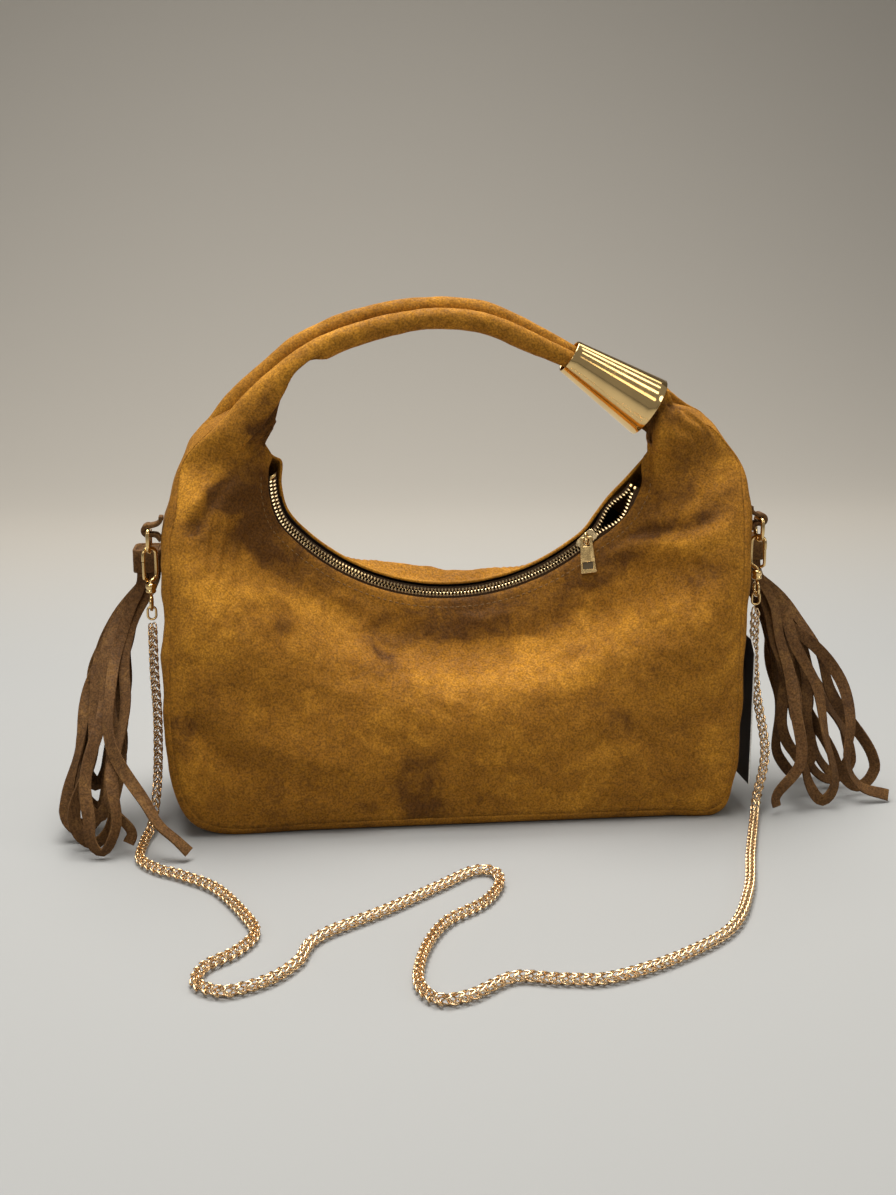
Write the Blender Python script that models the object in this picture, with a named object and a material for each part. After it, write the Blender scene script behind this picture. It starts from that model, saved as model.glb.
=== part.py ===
# Fringed suede shoulder bag with a rolled handle, a curved metal zip and a chain strap.
# Metres, Z up. X runs along the bag, the camera side is -Y, the base stands on Z = 0.
import math

import bmesh
import bpy
import numpy as np
from mathutils import Matrix, Vector

# Body outline, seen from the front
BASE_LEFT = 0.150          # base corner to the left of the origin
BASE_RIGHT = 0.143         # base corner to the right
SIDE_LEFT = 0.179          # widest reach of the left side
SIDE_RIGHT = 0.160         # reach of the right side, halfway up
SHOULDER_LEFT = 0.180      # height of the left shoulder
SHOULDER_RIGHT = 0.184     # height of the right shoulder
SHOULDER_SPREAD = 0.008    # how far the right shoulder stands out past the side
BODY_DEPTH = 0.116         # front to back at the base
SHOULDER_DEPTH = 0.044     # front to back at the shoulders
HORN_DEPTH = 0.016         # front to back where the gusset ends
BELLY = 0.005              # how far the front and back swell past their seams
SUEDE = 0.0018             # thickness of suede and lining together
SEAM_GAP = 0.0003          # air between two pieces that touch
CORNER_ROUND = 0.006       # rounding of the gusset's long edges
CORNER_END = 0.0015        # the same at both ends of the gusset
SIDE_SWELL = 0.002         # outward swell of the gusset on the sides
LOFT_STEPS = 2             # rows of faces between two cross-sections
PANEL_COLUMNS = 10         # points on each cross-section of a panel

# Handle
HANDLE_TOP = 0.302         # height of the top of the handle
HANDLE_ROLL = 0.018        # height of the handle's section
HANDLE_PLUMP = 0.0058      # half the depth of one roll
FRONT_SHARE = 0.66         # share of the section that each roll takes
ROLL_WRAP = math.radians(155)  # how far a roll's edges turn in behind it
ROLL_CLOSE = math.radians(40)  # how much more the hidden edge turns in where both rolls show
CLOSED_BELOW = 0.72        # share below which the rolls are closed that far
OPEN_ABOVE = 0.80

# Cone sleeve on the handle
CONE_X = 0.060
CONE_Z = HANDLE_TOP - 0.034
CONE_SLOPE = math.radians(32)
CONE_LENGTH = 0.057
CONE_SMALL = 0.0102        # outer radius where the handle enters
CONE_LARGE = 0.0185        # outer radius where the horn comes out
CONE_WALL = 0.0007
CONE_JOINT = 0.026         # depth at which the handle meets the horn inside

# Zip, on an arc about an axis along Y
ZIP_X = -0.011
ZIP_Z = 0.258
ZIP_RADIUS = 0.130
ZIP_LEAN = math.radians(55)   # how far the zip's face leans to the front
ZIP_LEFT = math.radians(-60)  # ends of the tooth rows, from straight down
ZIP_RIGHT = math.radians(58)
ZIP_TIGHTENS = math.radians(-48)  # past here the left end curls in
ZIP_CURL = 0.0100          # how far it has come in at its end
SLIDER_AT = math.radians(40)
MOUTH_OPEN = 0.0038        # how far each row bows out beyond the slider
ROW_GAP = 0.0005           # each tooth row starts this far from the middle
ROW_WIDTH = 0.0020
ROW_TOP = -0.0002
ROW_DEEP = 0.0027
TAPE_TOP = -0.0020
TAPE_THICK = 0.0007
TAPE_WIDTH = {-1: 0.0050, 1: 0.0013}
LIP_AT = {-1: 0.0048, 1: 0.0064}   # suede edge to the zip's middle, front and back
LIP_TOP = 0.0006
BACK_FALL = 0.32           # slope at which the back panel falls away behind the zip
STOP_LENGTH = 0.0022

# Slider and pull
SLIDER_LENGTH = 0.013
SLIDER_HALF = 0.0038
SLIDER_PLATE = 0.0012
SLIDER_CLEAR = 0.00035
SLIDER_EDGE = 0.0004       # bevel of the upper plate
POST_HALF = 0.0002
POST_LENGTH = 0.003
ARCH_SPAN = 0.0062
ARCH_RISE = 0.0033
ARCH_WIRE = 0.0012
PULL_LENGTH = 0.022
PULL_WIDTH = 0.0085
PULL_THICK = 0.0013
PULL_CORNER = 0.0012
PULL_CLEAR = 0.0003        # air between the pull's bar and the arch
PULL_BAR = 0.0012
SLOT_LENGTH = 0.0046
SLOT_WIDTH = 0.0036
PULL_TURN = math.radians(34.5)  # the pull hangs this far back from square

# Ring, snap hook and end link, the same on both sides
RING_Y = -0.016
RING_HEIGHT = 0.172
RING_WIDTH = 0.014
RING_DROP = 0.013
RING_WIRE = 0.0026
RING_CORNER = 0.0016       # the ring's bar turns into its bow within this length
TAB_WIDTH = 0.0090
TAB_HEIGHT = 0.016
TAB_ROUND = 0.0016
BORE_CLEAR = 0.0003
HOOK_LENGTH = 0.021
HOOK_WIDTH = 0.0085
HOOK_WIRE = 0.0022
HOOK_NOSE = 0.0035         # straight end of the hook above the gate
HOOK_SHOULDER = 0.0060     # height of the bow's lower corner above the block
GATE_FOOT = 0.0030         # height of the gate's pivot above the block
GATE_WIRE = 0.00185
HOOK_TURN = math.radians(38)  # the hook hangs turned this far from square
HANG_CLEAR = 0.0008        # air between the hanging hook and the gusset
BLOCK_LENGTH = 0.0060
BLOCK_RADIUS = 0.0030
BLOCK_EDGE = 0.0007
SWIVEL_CLEAR = 0.0003
EYE_LENGTH = 0.0085
EYE_WIRE = 0.0018
LINK_LENGTH = 0.0090
LINK_WIRE = 0.0014
LINK_HALF = 0.0024         # half the width of the end link, to the middle of its wire

# Chain strap
CHAIN_DIAMETER = 0.006
CHAIN_POINTS = 78
CHAIN_FLOOR = 0.0032

# Fringe
BAND_WIDTH = 0.0245
BAND_HEIGHT = 0.014
BAND_WALL = 0.0018
BAND_Y = 0.014
BAND_Z = 0.150
THONG_COUNT = 10
THONG_WIDTH = 0.0060
THONG_THICK = 0.0012
THONG_PITCH = 0.0021
THONG_STATIONS = 24
CLEAR_OF_CHAIN = 0.012     # how far the thongs stand out so that the chain passes inside them
STRAND_GAP = 0.0006
# Each row: reach, height of the foot, width of the loop, lean. A width of 0 is a cut tip.
LEFT_LOOPS = (
    (-0.028, 0.005, 0.000, 0.2), (0.020, 0.004, 0.014, 0.3), (0.006, 0.006, 0.000, 0.4),
    (0.026, 0.004, 0.020, 0.1), (0.024, 0.016, 0.014, 0.5), (0.034, 0.006, 0.020, 0.0),
    (0.025, 0.030, 0.012, 0.4), (0.034, 0.004, 0.022, 0.1), (0.028, 0.012, 0.016, 0.3),
    (0.030, 0.022, 0.014, 0.2),
)
RIGHT_LOOPS = (
    (-0.001, 0.005, 0.000, 0.1), (0.030, 0.005, 0.016, 0.2), (0.074, 0.004, 0.000, 0.0),
    (0.024, 0.022, 0.014, 0.4), (0.060, 0.005, 0.022, 0.1), (0.022, 0.012, 0.014, 0.5),
    (0.048, 0.005, 0.026, 0.2), (0.030, 0.040, 0.012, 0.6), (0.056, 0.004, 0.020, 0.1),
    (0.036, 0.014, 0.018, 0.3),
)
FAN_PITCH = 0.0072         # distance between slices at the foot of the fringe
FOOT_Y = {-1: -0.060, 1: -0.026}   # middle of each fringe's foot, left and right

# Swing tag
TAG_HEIGHT = 0.088
TAG_WIDTH = 0.040
TAG_THICK = 0.0008
TAG_TOP = 0.104
TAG_CORNER = 0.007
STRING_DIAMETER = 0.0012

# Folds of the slack suede: half width and height, then x and z of a line drawn on the panel
FRONT_FOLDS = (
    (0.017, -0.0065, ((-0.175, 0.169), (-0.128, 0.158), (-0.079, 0.121), (-0.011, 0.099),
                      (0.053, 0.109), (0.112, 0.140), (0.163, 0.163))),
    (0.024, 0.0050, ((-0.172, 0.138), (-0.108, 0.106), (-0.045, 0.073), (0.036, 0.073),
                     (0.107, 0.104), (0.158, 0.130))),
    (0.009, -0.0032, ((-0.181, 0.084), (-0.149, 0.051), (-0.098, 0.031), (-0.068, 0.028))),
    (0.014, 0.0030, ((-0.176, 0.096), (-0.120, 0.052), (-0.050, 0.040))),
)
BACK_FOLDS = (
    (0.020, 0.0060, ((-0.085, 0.146), (-0.050, 0.132), (-0.010, 0.126))),
    (0.018, -0.0045, ((-0.172, 0.165), (-0.060, 0.110), (0.060, 0.110), (0.160, 0.160))),
    (0.024, 0.0040, ((-0.170, 0.120), (-0.020, 0.072), (0.158, 0.130))),
    (0.010, -0.0024, ((0.160, 0.090), (0.110, 0.042), (0.070, 0.034))),
)
FOLD_STEPS = 8
FOLD_LIP = 0.030           # folds fade in over this much of a cross-section from its edge


def material(name, colour, roughness, metallic=0.0):
    made = bpy.data.materials.new(name)
    made.use_nodes = True
    shader = made.node_tree.nodes["Principled BSDF"]
    shader.inputs["Base Color"].default_value = (*colour, 1.0)
    shader.inputs["Roughness"].default_value = roughness
    shader.inputs["Metallic"].default_value = metallic
    made.diffuse_color = (*colour, 1.0)
    return made


def suede_tan(name):
    return material(name, (0.262, 0.117, 0.017), 0.92)


def suede_brown(name):
    return material(name, (0.118, 0.060, 0.026), 0.95)


def gold(name):
    return material(name, (0.83, 0.64, 0.42), 0.18, 1.0)


def tape_cloth(name):
    return material(name, (0.060, 0.030, 0.012), 0.95)


def black_card(name):
    return material(name, (0.012, 0.012, 0.014), 0.55)


def white_thread(name):
    return material(name, (0.75, 0.72, 0.66), 0.80)


def add_object(name, bm, finish, smooth=True, origin=None):
    """Turn a bmesh in world space into an object whose origin sits at the given point."""
    bmesh.ops.remove_doubles(bm, verts=bm.verts, dist=1e-7)
    bmesh.ops.recalc_face_normals(bm, faces=bm.faces)
    mesh = bpy.data.meshes.new(name)
    if origin is not None:
        bmesh.ops.translate(bm, verts=bm.verts, vec=-Vector(origin))
    bm.to_mesh(mesh)
    bm.free()
    if smooth:
        mesh.shade_smooth()
        mesh.set_sharp_from_angle(angle=math.radians(40))
    made = bpy.data.objects.new(name, mesh)
    if origin is not None:
        made.location = origin
    bpy.context.scene.collection.objects.link(made)
    made.data.materials.append(finish(name))
    return made


def bridge_grid(bm, rows, wrap):
    """Quads between neighbouring rows of vertices; wrap closes each row on itself."""
    for first, second in zip(rows[:-1], rows[1:]):
        count = len(first) if wrap else len(first) - 1
        for i in range(count):
            j = (i + 1) % len(first)
            bm.faces.new((first[i], first[j], second[j], second[i]))


def tube_from_rings(bm, rings, closed=False):
    """A solid from a row of equal rings of points, capped unless it closes on itself."""
    rows = [[bm.verts.new(Vector(p)) for p in ring] for ring in rings]
    bridge_grid(bm, rows + ([rows[0]] if closed else []), wrap=True)
    if not closed:
        bm.faces.new(rows[0])
        bm.faces.new(list(reversed(rows[-1])))


def through(points, count):
    """Evenly spaced points on a smooth curve through the given ones."""
    fine = catmull_rom(np.array(points, float), 12)
    steps = np.linalg.norm(np.diff(fine, axis=0), axis=1)
    run = np.concatenate([[0.0], np.cumsum(steps)])
    where = np.linspace(0.0, run[-1], count)
    return np.stack([np.interp(where, run, fine[:, k]) for k in range(fine.shape[1])], axis=1)


def catmull_rom(rows, per_step):
    """Smooth curve through rows of values, with per_step samples between each two."""
    rows = np.asarray(rows, float)
    padded = np.concatenate([2 * rows[:1] - rows[1:2], rows, 2 * rows[-1:] - rows[-2:-1]])
    out = []
    for i in range(1, len(padded) - 2):
        p0, p1, p2, p3 = padded[i - 1], padded[i], padded[i + 1], padded[i + 2]
        for k in range(per_step):
            t = k / per_step
            out.append(0.5 * (2 * p1 + (p2 - p0) * t + (2 * p0 - 5 * p1 + 4 * p2 - p3) * t**2
                              + (3 * p1 - p0 - 3 * p2 + p3) * t**3))
    out.append(rows[-1])
    return np.array(out)


def round_wire(bm, points, radius, sides=8, closed=False, flat=None):
    """A round wire along points; flat is a direction that every ring is squared to."""
    points = [Vector(p) for p in points]
    count = len(points)
    rings = []
    for i, point in enumerate(points):
        ahead = points[(i + 1) % count] if closed or i + 1 < count else point
        behind = points[i - 1] if closed or i else point
        along = (ahead - behind).normalized()
        side = Vector(flat).cross(along).normalized()
        up = along.cross(side)
        rings.append([point + radius * (math.cos(a) * side + math.sin(a) * up)
                      for a in np.arange(sides) * math.tau / sides])
    tube_from_rings(bm, rings, closed)


# The zip's own directions at an angle from straight down: along it, across it, out of its face.

def zip_out(angle):
    return np.array([math.sin(angle), 0.0, -math.cos(angle)])


def zip_along(angle):
    return np.array([math.cos(angle), 0.0, math.sin(angle)])


def zip_across(angle):
    back = np.array([0.0, 1.0, 0.0])
    return math.cos(ZIP_LEAN) * back - math.sin(ZIP_LEAN) * zip_out(angle)


def zip_face(angle):
    back = np.array([0.0, 1.0, 0.0])
    return -math.sin(ZIP_LEAN) * back - math.cos(ZIP_LEAN) * zip_out(angle)


def zip_radius(angle):
    """The zip's arc, which tightens at the left end, past the slider's travel."""
    past = max(0.0, (ZIP_TIGHTENS - angle) / (ZIP_TIGHTENS - ZIP_LEFT))
    return ZIP_RADIUS - ZIP_CURL * min(past, 1.3)**1.5


def zip_point(angle, across, out):
    centre = np.array([ZIP_X, 0.0, ZIP_Z]) + zip_radius(angle) * zip_out(angle)
    return centre + across * zip_across(angle) + out * zip_face(angle)


def mouth_bow(angle):
    """How far a tooth row bows out at this angle: only on the open side of the slider."""
    start = SLIDER_AT + 0.5 * SLIDER_LENGTH / ZIP_RADIUS
    if angle <= start or angle >= ZIP_RIGHT:
        return 0.0
    return MOUTH_OPEN * math.sin(math.pi * (angle - start) / (ZIP_RIGHT - start))**2


def cone_axis():
    return np.array([math.cos(CONE_SLOPE), 0.0, -math.sin(CONE_SLOPE)])


def cone_point(depth, across):
    """A point in the cone's middle plane, so far in from its small rim and to its upper side."""
    start = np.array([CONE_X, 0.0, CONE_Z])
    upper = np.array([math.sin(CONE_SLOPE), 0.0, math.cos(CONE_SLOPE)])
    return start + depth * cone_axis() + across * upper


def cone_inside(depth):
    share = depth / CONE_LENGTH
    return CONE_SMALL + (CONE_LARGE - CONE_SMALL) * share - CONE_WALL


# A rung is one cross-section of the bag: where it starts at the inside of the loop, where it
# ends at the outline, and how deep it is there. Rolled rungs make the handle, zip rungs the body.

def rolled(inner, outer, plump, share=FRONT_SHARE):
    return dict(kind="roll", inner=np.array([inner[0], 0.0, inner[1]]),
                outer=np.array([outer[0], 0.0, outer[1]]), plump=plump, share=share)


def roll_turns(share, side, count):
    """Angles round a roll from its lower edge to its upper edge; 0 faces out of the bag."""
    closed = np.clip((OPEN_ABOVE - share) / (OPEN_ABOVE - CLOSED_BELOW), 0.0, 1.0)
    hidden = ROLL_WRAP + ROLL_CLOSE * closed
    shown = ROLL_WRAP - 0.4 * ROLL_CLOSE * closed
    low, high = (hidden, shown) if side < 0 else (shown, hidden)
    return np.linspace(-low, high, count)[:, None]


def in_cone(depth, fill, plump, share):
    """A rolled rung inside the cone, filling a share of the room there."""
    reach = cone_inside(depth) * fill
    low, high = cone_point(depth, -reach), cone_point(depth, reach)
    return rolled((low[0], low[2]), (high[0], high[2]), cone_inside(depth) * plump, share)


def zipped(degrees, outer_x, outer_z, depth):
    return dict(kind="zip", angle=math.radians(degrees), depth=0.5 * depth,
                outer=np.array([outer_x, 0.0, outer_z]))


def plain_body(inner, outer, depth):
    return dict(kind="body", inner=np.array([inner[0], 0.0, inner[1]]), depth=0.5 * depth,
                outer=np.array([outer[0], 0.0, outer[1]]), corner=CORNER_END)


def corner_of(rung):
    return rung.get("corner", CORNER_ROUND)


def shoulder_mix(share):
    return SHOULDER_DEPTH + share * (BODY_DEPTH - SHOULDER_DEPTH)


def all_rungs():
    top, roll, left, right = HANDLE_TOP, HANDLE_ROLL, -SIDE_LEFT, SIDE_RIGHT
    spread = right + SHOULDER_SPREAD
    handle = [
        in_cone(CONE_JOINT - SEAM_GAP, 0.60, 0.33, 0.72),
        in_cone(0.010, 0.68, 0.38, 0.70),
        in_cone(0.0, 0.74, 0.41, 0.70),
        rolled((0.034, top - roll - 0.013), (0.043, top - 0.0165), 0.0050, 0.68),
        rolled((0.006, top - roll - 0.002), (0.009, top - 0.002), HANDLE_PLUMP),
        rolled((-0.025, top - roll), (-0.028, top), HANDLE_PLUMP),
        rolled((-0.053, top - roll - 0.006), (-0.063, top - 0.006), HANDLE_PLUMP),
        rolled((-0.078, top - roll - 0.014), (-0.095, top - 0.018), 0.0064),
        rolled((-0.098, top - roll - 0.028), (-0.122, top - 0.038), 0.0075, 0.72),
        rolled((-0.106, 0.241), (-0.144, 0.243), 0.0085, 0.78),
        rolled((-0.111, 0.226), (-0.1585, 0.2265), 0.0090, 0.84),
    ]
    body = [
        plain_body((-0.1155, 0.213), (-0.1685, 0.207), HORN_DEPTH),
        zipped(-63, 0.003 + left, SHOULDER_LEFT, SHOULDER_DEPTH),
        zipped(-57, left - 0.0005, 0.162, shoulder_mix(0.22)),
        zipped(-50, left, 0.140, shoulder_mix(0.45)),
        zipped(-41, left - 0.001, 0.095, shoulder_mix(0.75)),
        zipped(-33, left, 0.050, shoulder_mix(0.95)),
        zipped(-27, left + 0.008, 0.014, BODY_DEPTH),
        zipped(-21, -BASE_LEFT, 0.0, BODY_DEPTH),
        zipped(-13, -BASE_LEFT * 0.66, 0.0, BODY_DEPTH),
        zipped(-4, -BASE_LEFT * 0.30, 0.0, BODY_DEPTH),
        zipped(6, BASE_RIGHT * 0.07, 0.0, BODY_DEPTH),
        zipped(15, BASE_RIGHT * 0.45, 0.0, BODY_DEPTH),
        zipped(23, BASE_RIGHT * 0.80, 0.0, BODY_DEPTH),
        zipped(29, BASE_RIGHT, 0.0, BODY_DEPTH),
        zipped(35, right - 0.007, 0.017, BODY_DEPTH),
        zipped(41, right - 0.003, 0.060, shoulder_mix(0.95)),
        zipped(47, right, 0.105, shoulder_mix(0.75)),
        zipped(53, spread - 0.003, 0.148, shoulder_mix(0.45)),
        zipped(60, spread, SHOULDER_RIGHT, SHOULDER_DEPTH),
        plain_body((0.1055, 0.207), (spread - 0.006, SHOULDER_RIGHT + 0.024), HORN_DEPTH),
    ]
    horn = [
        rolled((0.1040, 0.2165), (0.144, 0.232), 0.0080, 0.86),
        in_cone(CONE_LENGTH, 0.84, 0.40, 0.88),
        in_cone(0.040, 0.80, 0.38, 0.88),
        in_cone(CONE_JOINT, 0.76, 0.37, 0.88),
    ]
    return handle, body, horn


def outward(rung):
    inner = rung.get("inner")
    if inner is None:
        inner = zip_point(rung["angle"], 0.0, 0.0) * np.array([1.0, 0.0, 1.0])
    across = rung["outer"] - inner
    return inner, across / np.linalg.norm(across), np.linalg.norm(across)


def bezier(p0, p1, p2, p3, count):
    """Points on a cubic arc, closer together near its start."""
    t = np.linspace(0.0, 1.0, count)[:, None]**1.5
    return (1 - t)**3 * p0 + 3 * (1 - t)**2 * t * p1 + 3 * (1 - t) * t**2 * p2 + t**3 * p3


def rung_profile(rung, side, count):
    """Points of one panel on this rung, from the mouth to the outline; side -1 front, 1 back."""
    inner, out, reach = outward(rung)
    deep = np.array([0.0, side, 0.0])
    if rung["kind"] == "roll":
        half = 0.5 * rung["share"] * reach
        middle = inner + out * (half if side < 0 else reach - half)
        middle = middle + deep * (rung["plump"] + 0.5 * SEAM_GAP + 0.0001)
        turn = roll_turns(rung["share"], side, count)
        return middle + half * np.sin(turn) * out + rung["plump"] * np.cos(turn) * deep
    end = inner + out * (reach - corner_of(rung) - SEAM_GAP) + deep * rung["depth"]
    if rung["kind"] == "zip":
        lip = side * (LIP_AT[side] + mouth_bow(rung["angle"]))
        start = zip_point(rung["angle"], lip, LIP_TOP)
        leave = -zip_across(rung["angle"])
    else:
        start = inner + deep * 0.0012
        leave = deep * 0.8 + out * 0.6
    if side > 0:
        leave = deep + BACK_FALL * (zip_out(rung["angle"]) if rung["kind"] == "zip" else out)
        leave = leave / np.linalg.norm(leave)
    chord = np.linalg.norm(end - start)
    first = (0.42 if side < 0 else 0.38) * chord
    swell = BELLY + 0.04 * chord
    last = end - 0.42 * chord * out + swell * deep
    return bezier(start, start + first * leave, last, end, count)


def loft(profiles, per_step):
    """Smooth surface through equal rows of points."""
    rows = np.array(profiles)
    flat = rows.reshape(len(rows), -1)
    return catmull_rom(flat, per_step).reshape(-1, rows.shape[1], 3)


def grid_normals(grid):
    along = np.gradient(grid, axis=0)
    across = np.gradient(grid, axis=1)
    normal = np.cross(along, across)
    return normal / np.linalg.norm(normal, axis=2, keepdims=True)


def shell(name, grid, flip, finish, square_edges=False):
    """A sheet of suede: the grid is its outer face, and it has the suede's thickness inward."""
    normals = flip * grid_normals(grid)
    if square_edges:
        normals[:, 0] = (0.0, -1.0, 0.0)
        normals[:, -1] = (0.0, 1.0, 0.0)
    inside = grid - SUEDE * normals
    bm = bmesh.new()
    outer = [[bm.verts.new(Vector(p)) for p in row] for row in grid]
    inner = [[bm.verts.new(Vector(p)) for p in row] for row in inside]
    bridge_grid(bm, outer, wrap=False)
    bridge_grid(bm, [list(reversed(row)) for row in inner], wrap=False)
    edge = [row[0] for row in outer] + outer[-1][1:] + [row[-1] for row in reversed(outer)][1:]
    edge += list(reversed(outer[0]))[1:-1]
    hem = [row[0] for row in inner] + inner[-1][1:] + [row[-1] for row in reversed(inner)][1:]
    hem += list(reversed(inner[0]))[1:-1]
    for i in range(len(edge)):
        j = (i + 1) % len(edge)
        bm.faces.new((edge[j], edge[i], hem[i], hem[j]))
    return add_object(name, bm, finish)


def smooth_step(share):
    share = np.clip(share, 0.0, 1.0)
    return share * share * (3.0 - 2.0 * share)


def fold_push(grid, folds):
    """How far the folds push each point: a bell of its distance to each fold's line."""
    total = np.zeros(grid.shape[:2])
    for width, height, line in folds:
        spots = catmull_rom(np.array(line), FOLD_STEPS)
        gap = np.linalg.norm(grid[:, :, None, (0, 2)] - spots, axis=3)
        share = gap.argmin(axis=2) / (len(spots) - 1)
        ends = smooth_step(6.0 * np.minimum(share, 1.0 - share) + 0.1)
        total += height * ends * np.exp(-(gap.min(axis=2) / width)**2)
    return total


def panel_grid(side):
    """The lofted panel with its folds, which fade out at its edges and on the handle."""
    handle, body, horn = all_rungs()
    rows = [rung_profile(rung, side, PANEL_COLUMNS) for rung in handle + body + horn]
    grid = loft(rows, LOFT_STEPS)
    first = len(handle) * LOFT_STEPS
    last = first + (len(body) - 1) * LOFT_STEPS
    row = np.arange(len(grid))[:, None]
    fade = smooth_step((row - first) / LOFT_STEPS) * smooth_step((last - row) / LOFT_STEPS)
    run = np.linalg.norm(np.diff(grid, axis=1), axis=2).cumsum(axis=1)
    run = np.concatenate([np.zeros((len(grid), 1)), run], axis=1)
    fade = fade * smooth_step(run / FOLD_LIP) * smooth_step((run[:, -1:] - run) / FOLD_LIP)
    push = fade * fold_push(grid, FRONT_FOLDS if side < 0 else BACK_FOLDS)
    return grid + push[:, :, None] * side * grid_normals(grid)


def panel(name, side):
    return shell(name, panel_grid(side), side, suede_tan)


def gusset_grid():
    """Between the outer edges of both panels: round at its long edges, flat on the base."""
    handle, body, _ = all_rungs()
    first = len(handle) * LOFT_STEPS
    last = first + (len(body) - 1) * LOFT_STEPS + 1
    front = panel_grid(-1)[first:last, -1]
    back = panel_grid(1)[first:last, -1]
    out = catmull_rom([outward(rung)[1] for rung in body], LOFT_STEPS)
    out = out / np.linalg.norm(out, axis=1, keepdims=True)
    corner = catmull_rom([(corner_of(rung),) for rung in body], LOFT_STEPS)[:, 0]
    corner = np.clip(corner, CORNER_END, CORNER_ROUND)
    half = 0.5 * (back[:, 1] - front[:, 1])
    middle = 0.5 * (front + back) + out * SEAM_GAP
    turn = np.radians([0.0, 45.0, 90.0])
    inset = np.outer(1 - np.cos(turn), corner)
    rise = np.outer(np.sin(turn), corner)
    upright = np.clip(middle[:, 2] / CORNER_ROUND - 1.0, 0.0, 1.0)
    swell = SIDE_SWELL * upright * np.minimum(1.0, 2 * half / SHOULDER_DEPTH)
    columns = []
    for k in range(3):
        columns.append(middle + out * rise[k][:, None] - np.outer(half - inset[k], (0.0, 1.0, 0.0)))
    columns.append(middle + out * (corner + swell)[:, None])
    for k in reversed(range(3)):
        columns.append(middle + out * rise[k][:, None] + np.outer(half - inset[k], (0.0, 1.0, 0.0)))
    grid = np.stack(columns, axis=1)
    grid[:, :, 2] = np.maximum(grid[:, :, 2], 0.0)
    return grid


def gusset_base():
    """One strip round the base and up both sides, its edges meeting the panels' edges."""
    return shell("gusset_base", gusset_grid(), -1, suede_tan, square_edges=True)


def gusset_spots():
    """Points spread over the gusset's faces."""
    grid = gusset_grid()
    share = np.linspace(0.0, 1.0, 9)
    rows = grid[:-1, None] + share[None, :, None, None] * (grid[1:, None] - grid[:-1, None])
    rows = rows.reshape(-1, grid.shape[1], 3)
    step = rows[:, 1:, None] - rows[:, :-1, None]
    return (rows[:, :-1, None] + share[None, None, :, None] * step).reshape(-1, 3)


def side_reach(side, low, high, front=-BODY_DEPTH, back=BODY_DEPTH):
    """How far the gusset stands out on the left (-1) or right (1), between two heights."""
    spots = gusset_spots()
    near = (spots[:, 2] > low) & (spots[:, 2] < high) & (spots[:, 0] * side > 0)
    near &= (spots[:, 1] > front) & (spots[:, 1] < back)
    return float(np.max(spots[near, 0] * side))


def arc_strip(name, start, stop, side, near, far, top, deep, finish, bow=True, steps=32):
    """A bar along the zip's arc; near and far are its edges from the zip's middle."""
    rings = []
    for angle in np.linspace(start, stop, steps + 1):
        shift = mouth_bow(angle) if bow else 0.0
        a, b = side * (near + shift), side * (far + shift)
        rings.append([zip_point(angle, a, top), zip_point(angle, b, top),
                      zip_point(angle, b, top - deep), zip_point(angle, a, top - deep)])
    bm = bmesh.new()
    tube_from_rings(bm, rings)
    return add_object(name, bm, finish, smooth=False)


def zip_rows():
    for side, word in ((-1, "front"), (1, "back")):
        tape_near = ROW_GAP + ROW_WIDTH + SEAM_GAP
        arc_strip(f"zip_teeth_{word}", ZIP_LEFT, ZIP_RIGHT, side, ROW_GAP, ROW_GAP + ROW_WIDTH,
                  ROW_TOP, ROW_DEEP, gold)
        arc_strip(f"zip_tape_{word}", ZIP_LEFT, ZIP_RIGHT, side, tape_near,
                  tape_near + TAPE_WIDTH[side], TAPE_TOP, TAPE_THICK, tape_cloth)


def zip_stops():
    gap = SEAM_GAP / ZIP_RADIUS
    length = STOP_LENGTH / ZIP_RADIUS
    width = ROW_GAP + ROW_WIDTH
    bm = bmesh.new()
    ends = (ZIP_LEFT - gap - length, ZIP_LEFT - gap)
    rings = [[zip_point(a, w, n) for w, n in ((-width, ROW_TOP), (width, ROW_TOP),
                                              (width, ROW_TOP - ROW_DEEP),
                                              (-width, ROW_TOP - ROW_DEEP))] for a in ends]
    tube_from_rings(bm, rings)
    add_object("zip_stop_left", bm, gold, smooth=False)
    for side, word in ((-1, "front"), (1, "back")):
        arc_strip(f"zip_stop_right_{word}", ZIP_RIGHT + gap, ZIP_RIGHT + gap + length, side,
                  ROW_GAP, width, ROW_TOP, ROW_DEEP, gold, bow=False, steps=1)


def zip_frame(angle, across, out):
    """Matrix with X along the zip, Y across it and Z out of its face."""
    axes = Matrix((zip_along(angle), zip_across(angle), zip_face(angle))).transposed()
    return Matrix.Translation(Vector(zip_point(angle, across, out))) @ axes.to_4x4()


def cuboid(bm, low, high):
    corners = [(x, y, z) for x in (low[0], high[0]) for y in (low[1], high[1])
               for z in (low[2], high[2])]
    v = [bm.verts.new(c) for c in corners]
    for face in ((0, 1, 3, 2), (4, 6, 7, 5), (0, 4, 5, 1), (2, 3, 7, 6), (0, 2, 6, 4), (1, 5, 7, 3)):
        bm.faces.new([v[i] for i in face])


def boolean(target, tool, how):
    """Join or cut with a helper object that is then removed."""
    step = target.modifiers.new(how, "BOOLEAN")
    step.operation = how
    step.solver = "EXACT"
    step.object = tool
    bpy.context.view_layer.update()
    graph = bpy.context.evaluated_depsgraph_get()
    mesh = bpy.data.meshes.new_from_object(target.evaluated_get(graph))
    target.modifiers.clear()
    old = target.data
    target.data = mesh
    bpy.data.meshes.remove(old)
    bpy.data.objects.remove(tool, do_unlink=True)


def helper(bm, matrix):
    bmesh.ops.recalc_face_normals(bm, faces=bm.faces)
    mesh = bpy.data.meshes.new("helper")
    bm.to_mesh(mesh)
    bm.free()
    made = bpy.data.objects.new("helper", mesh)
    made.matrix_world = matrix
    bpy.context.scene.collection.objects.link(made)
    return made


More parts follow.
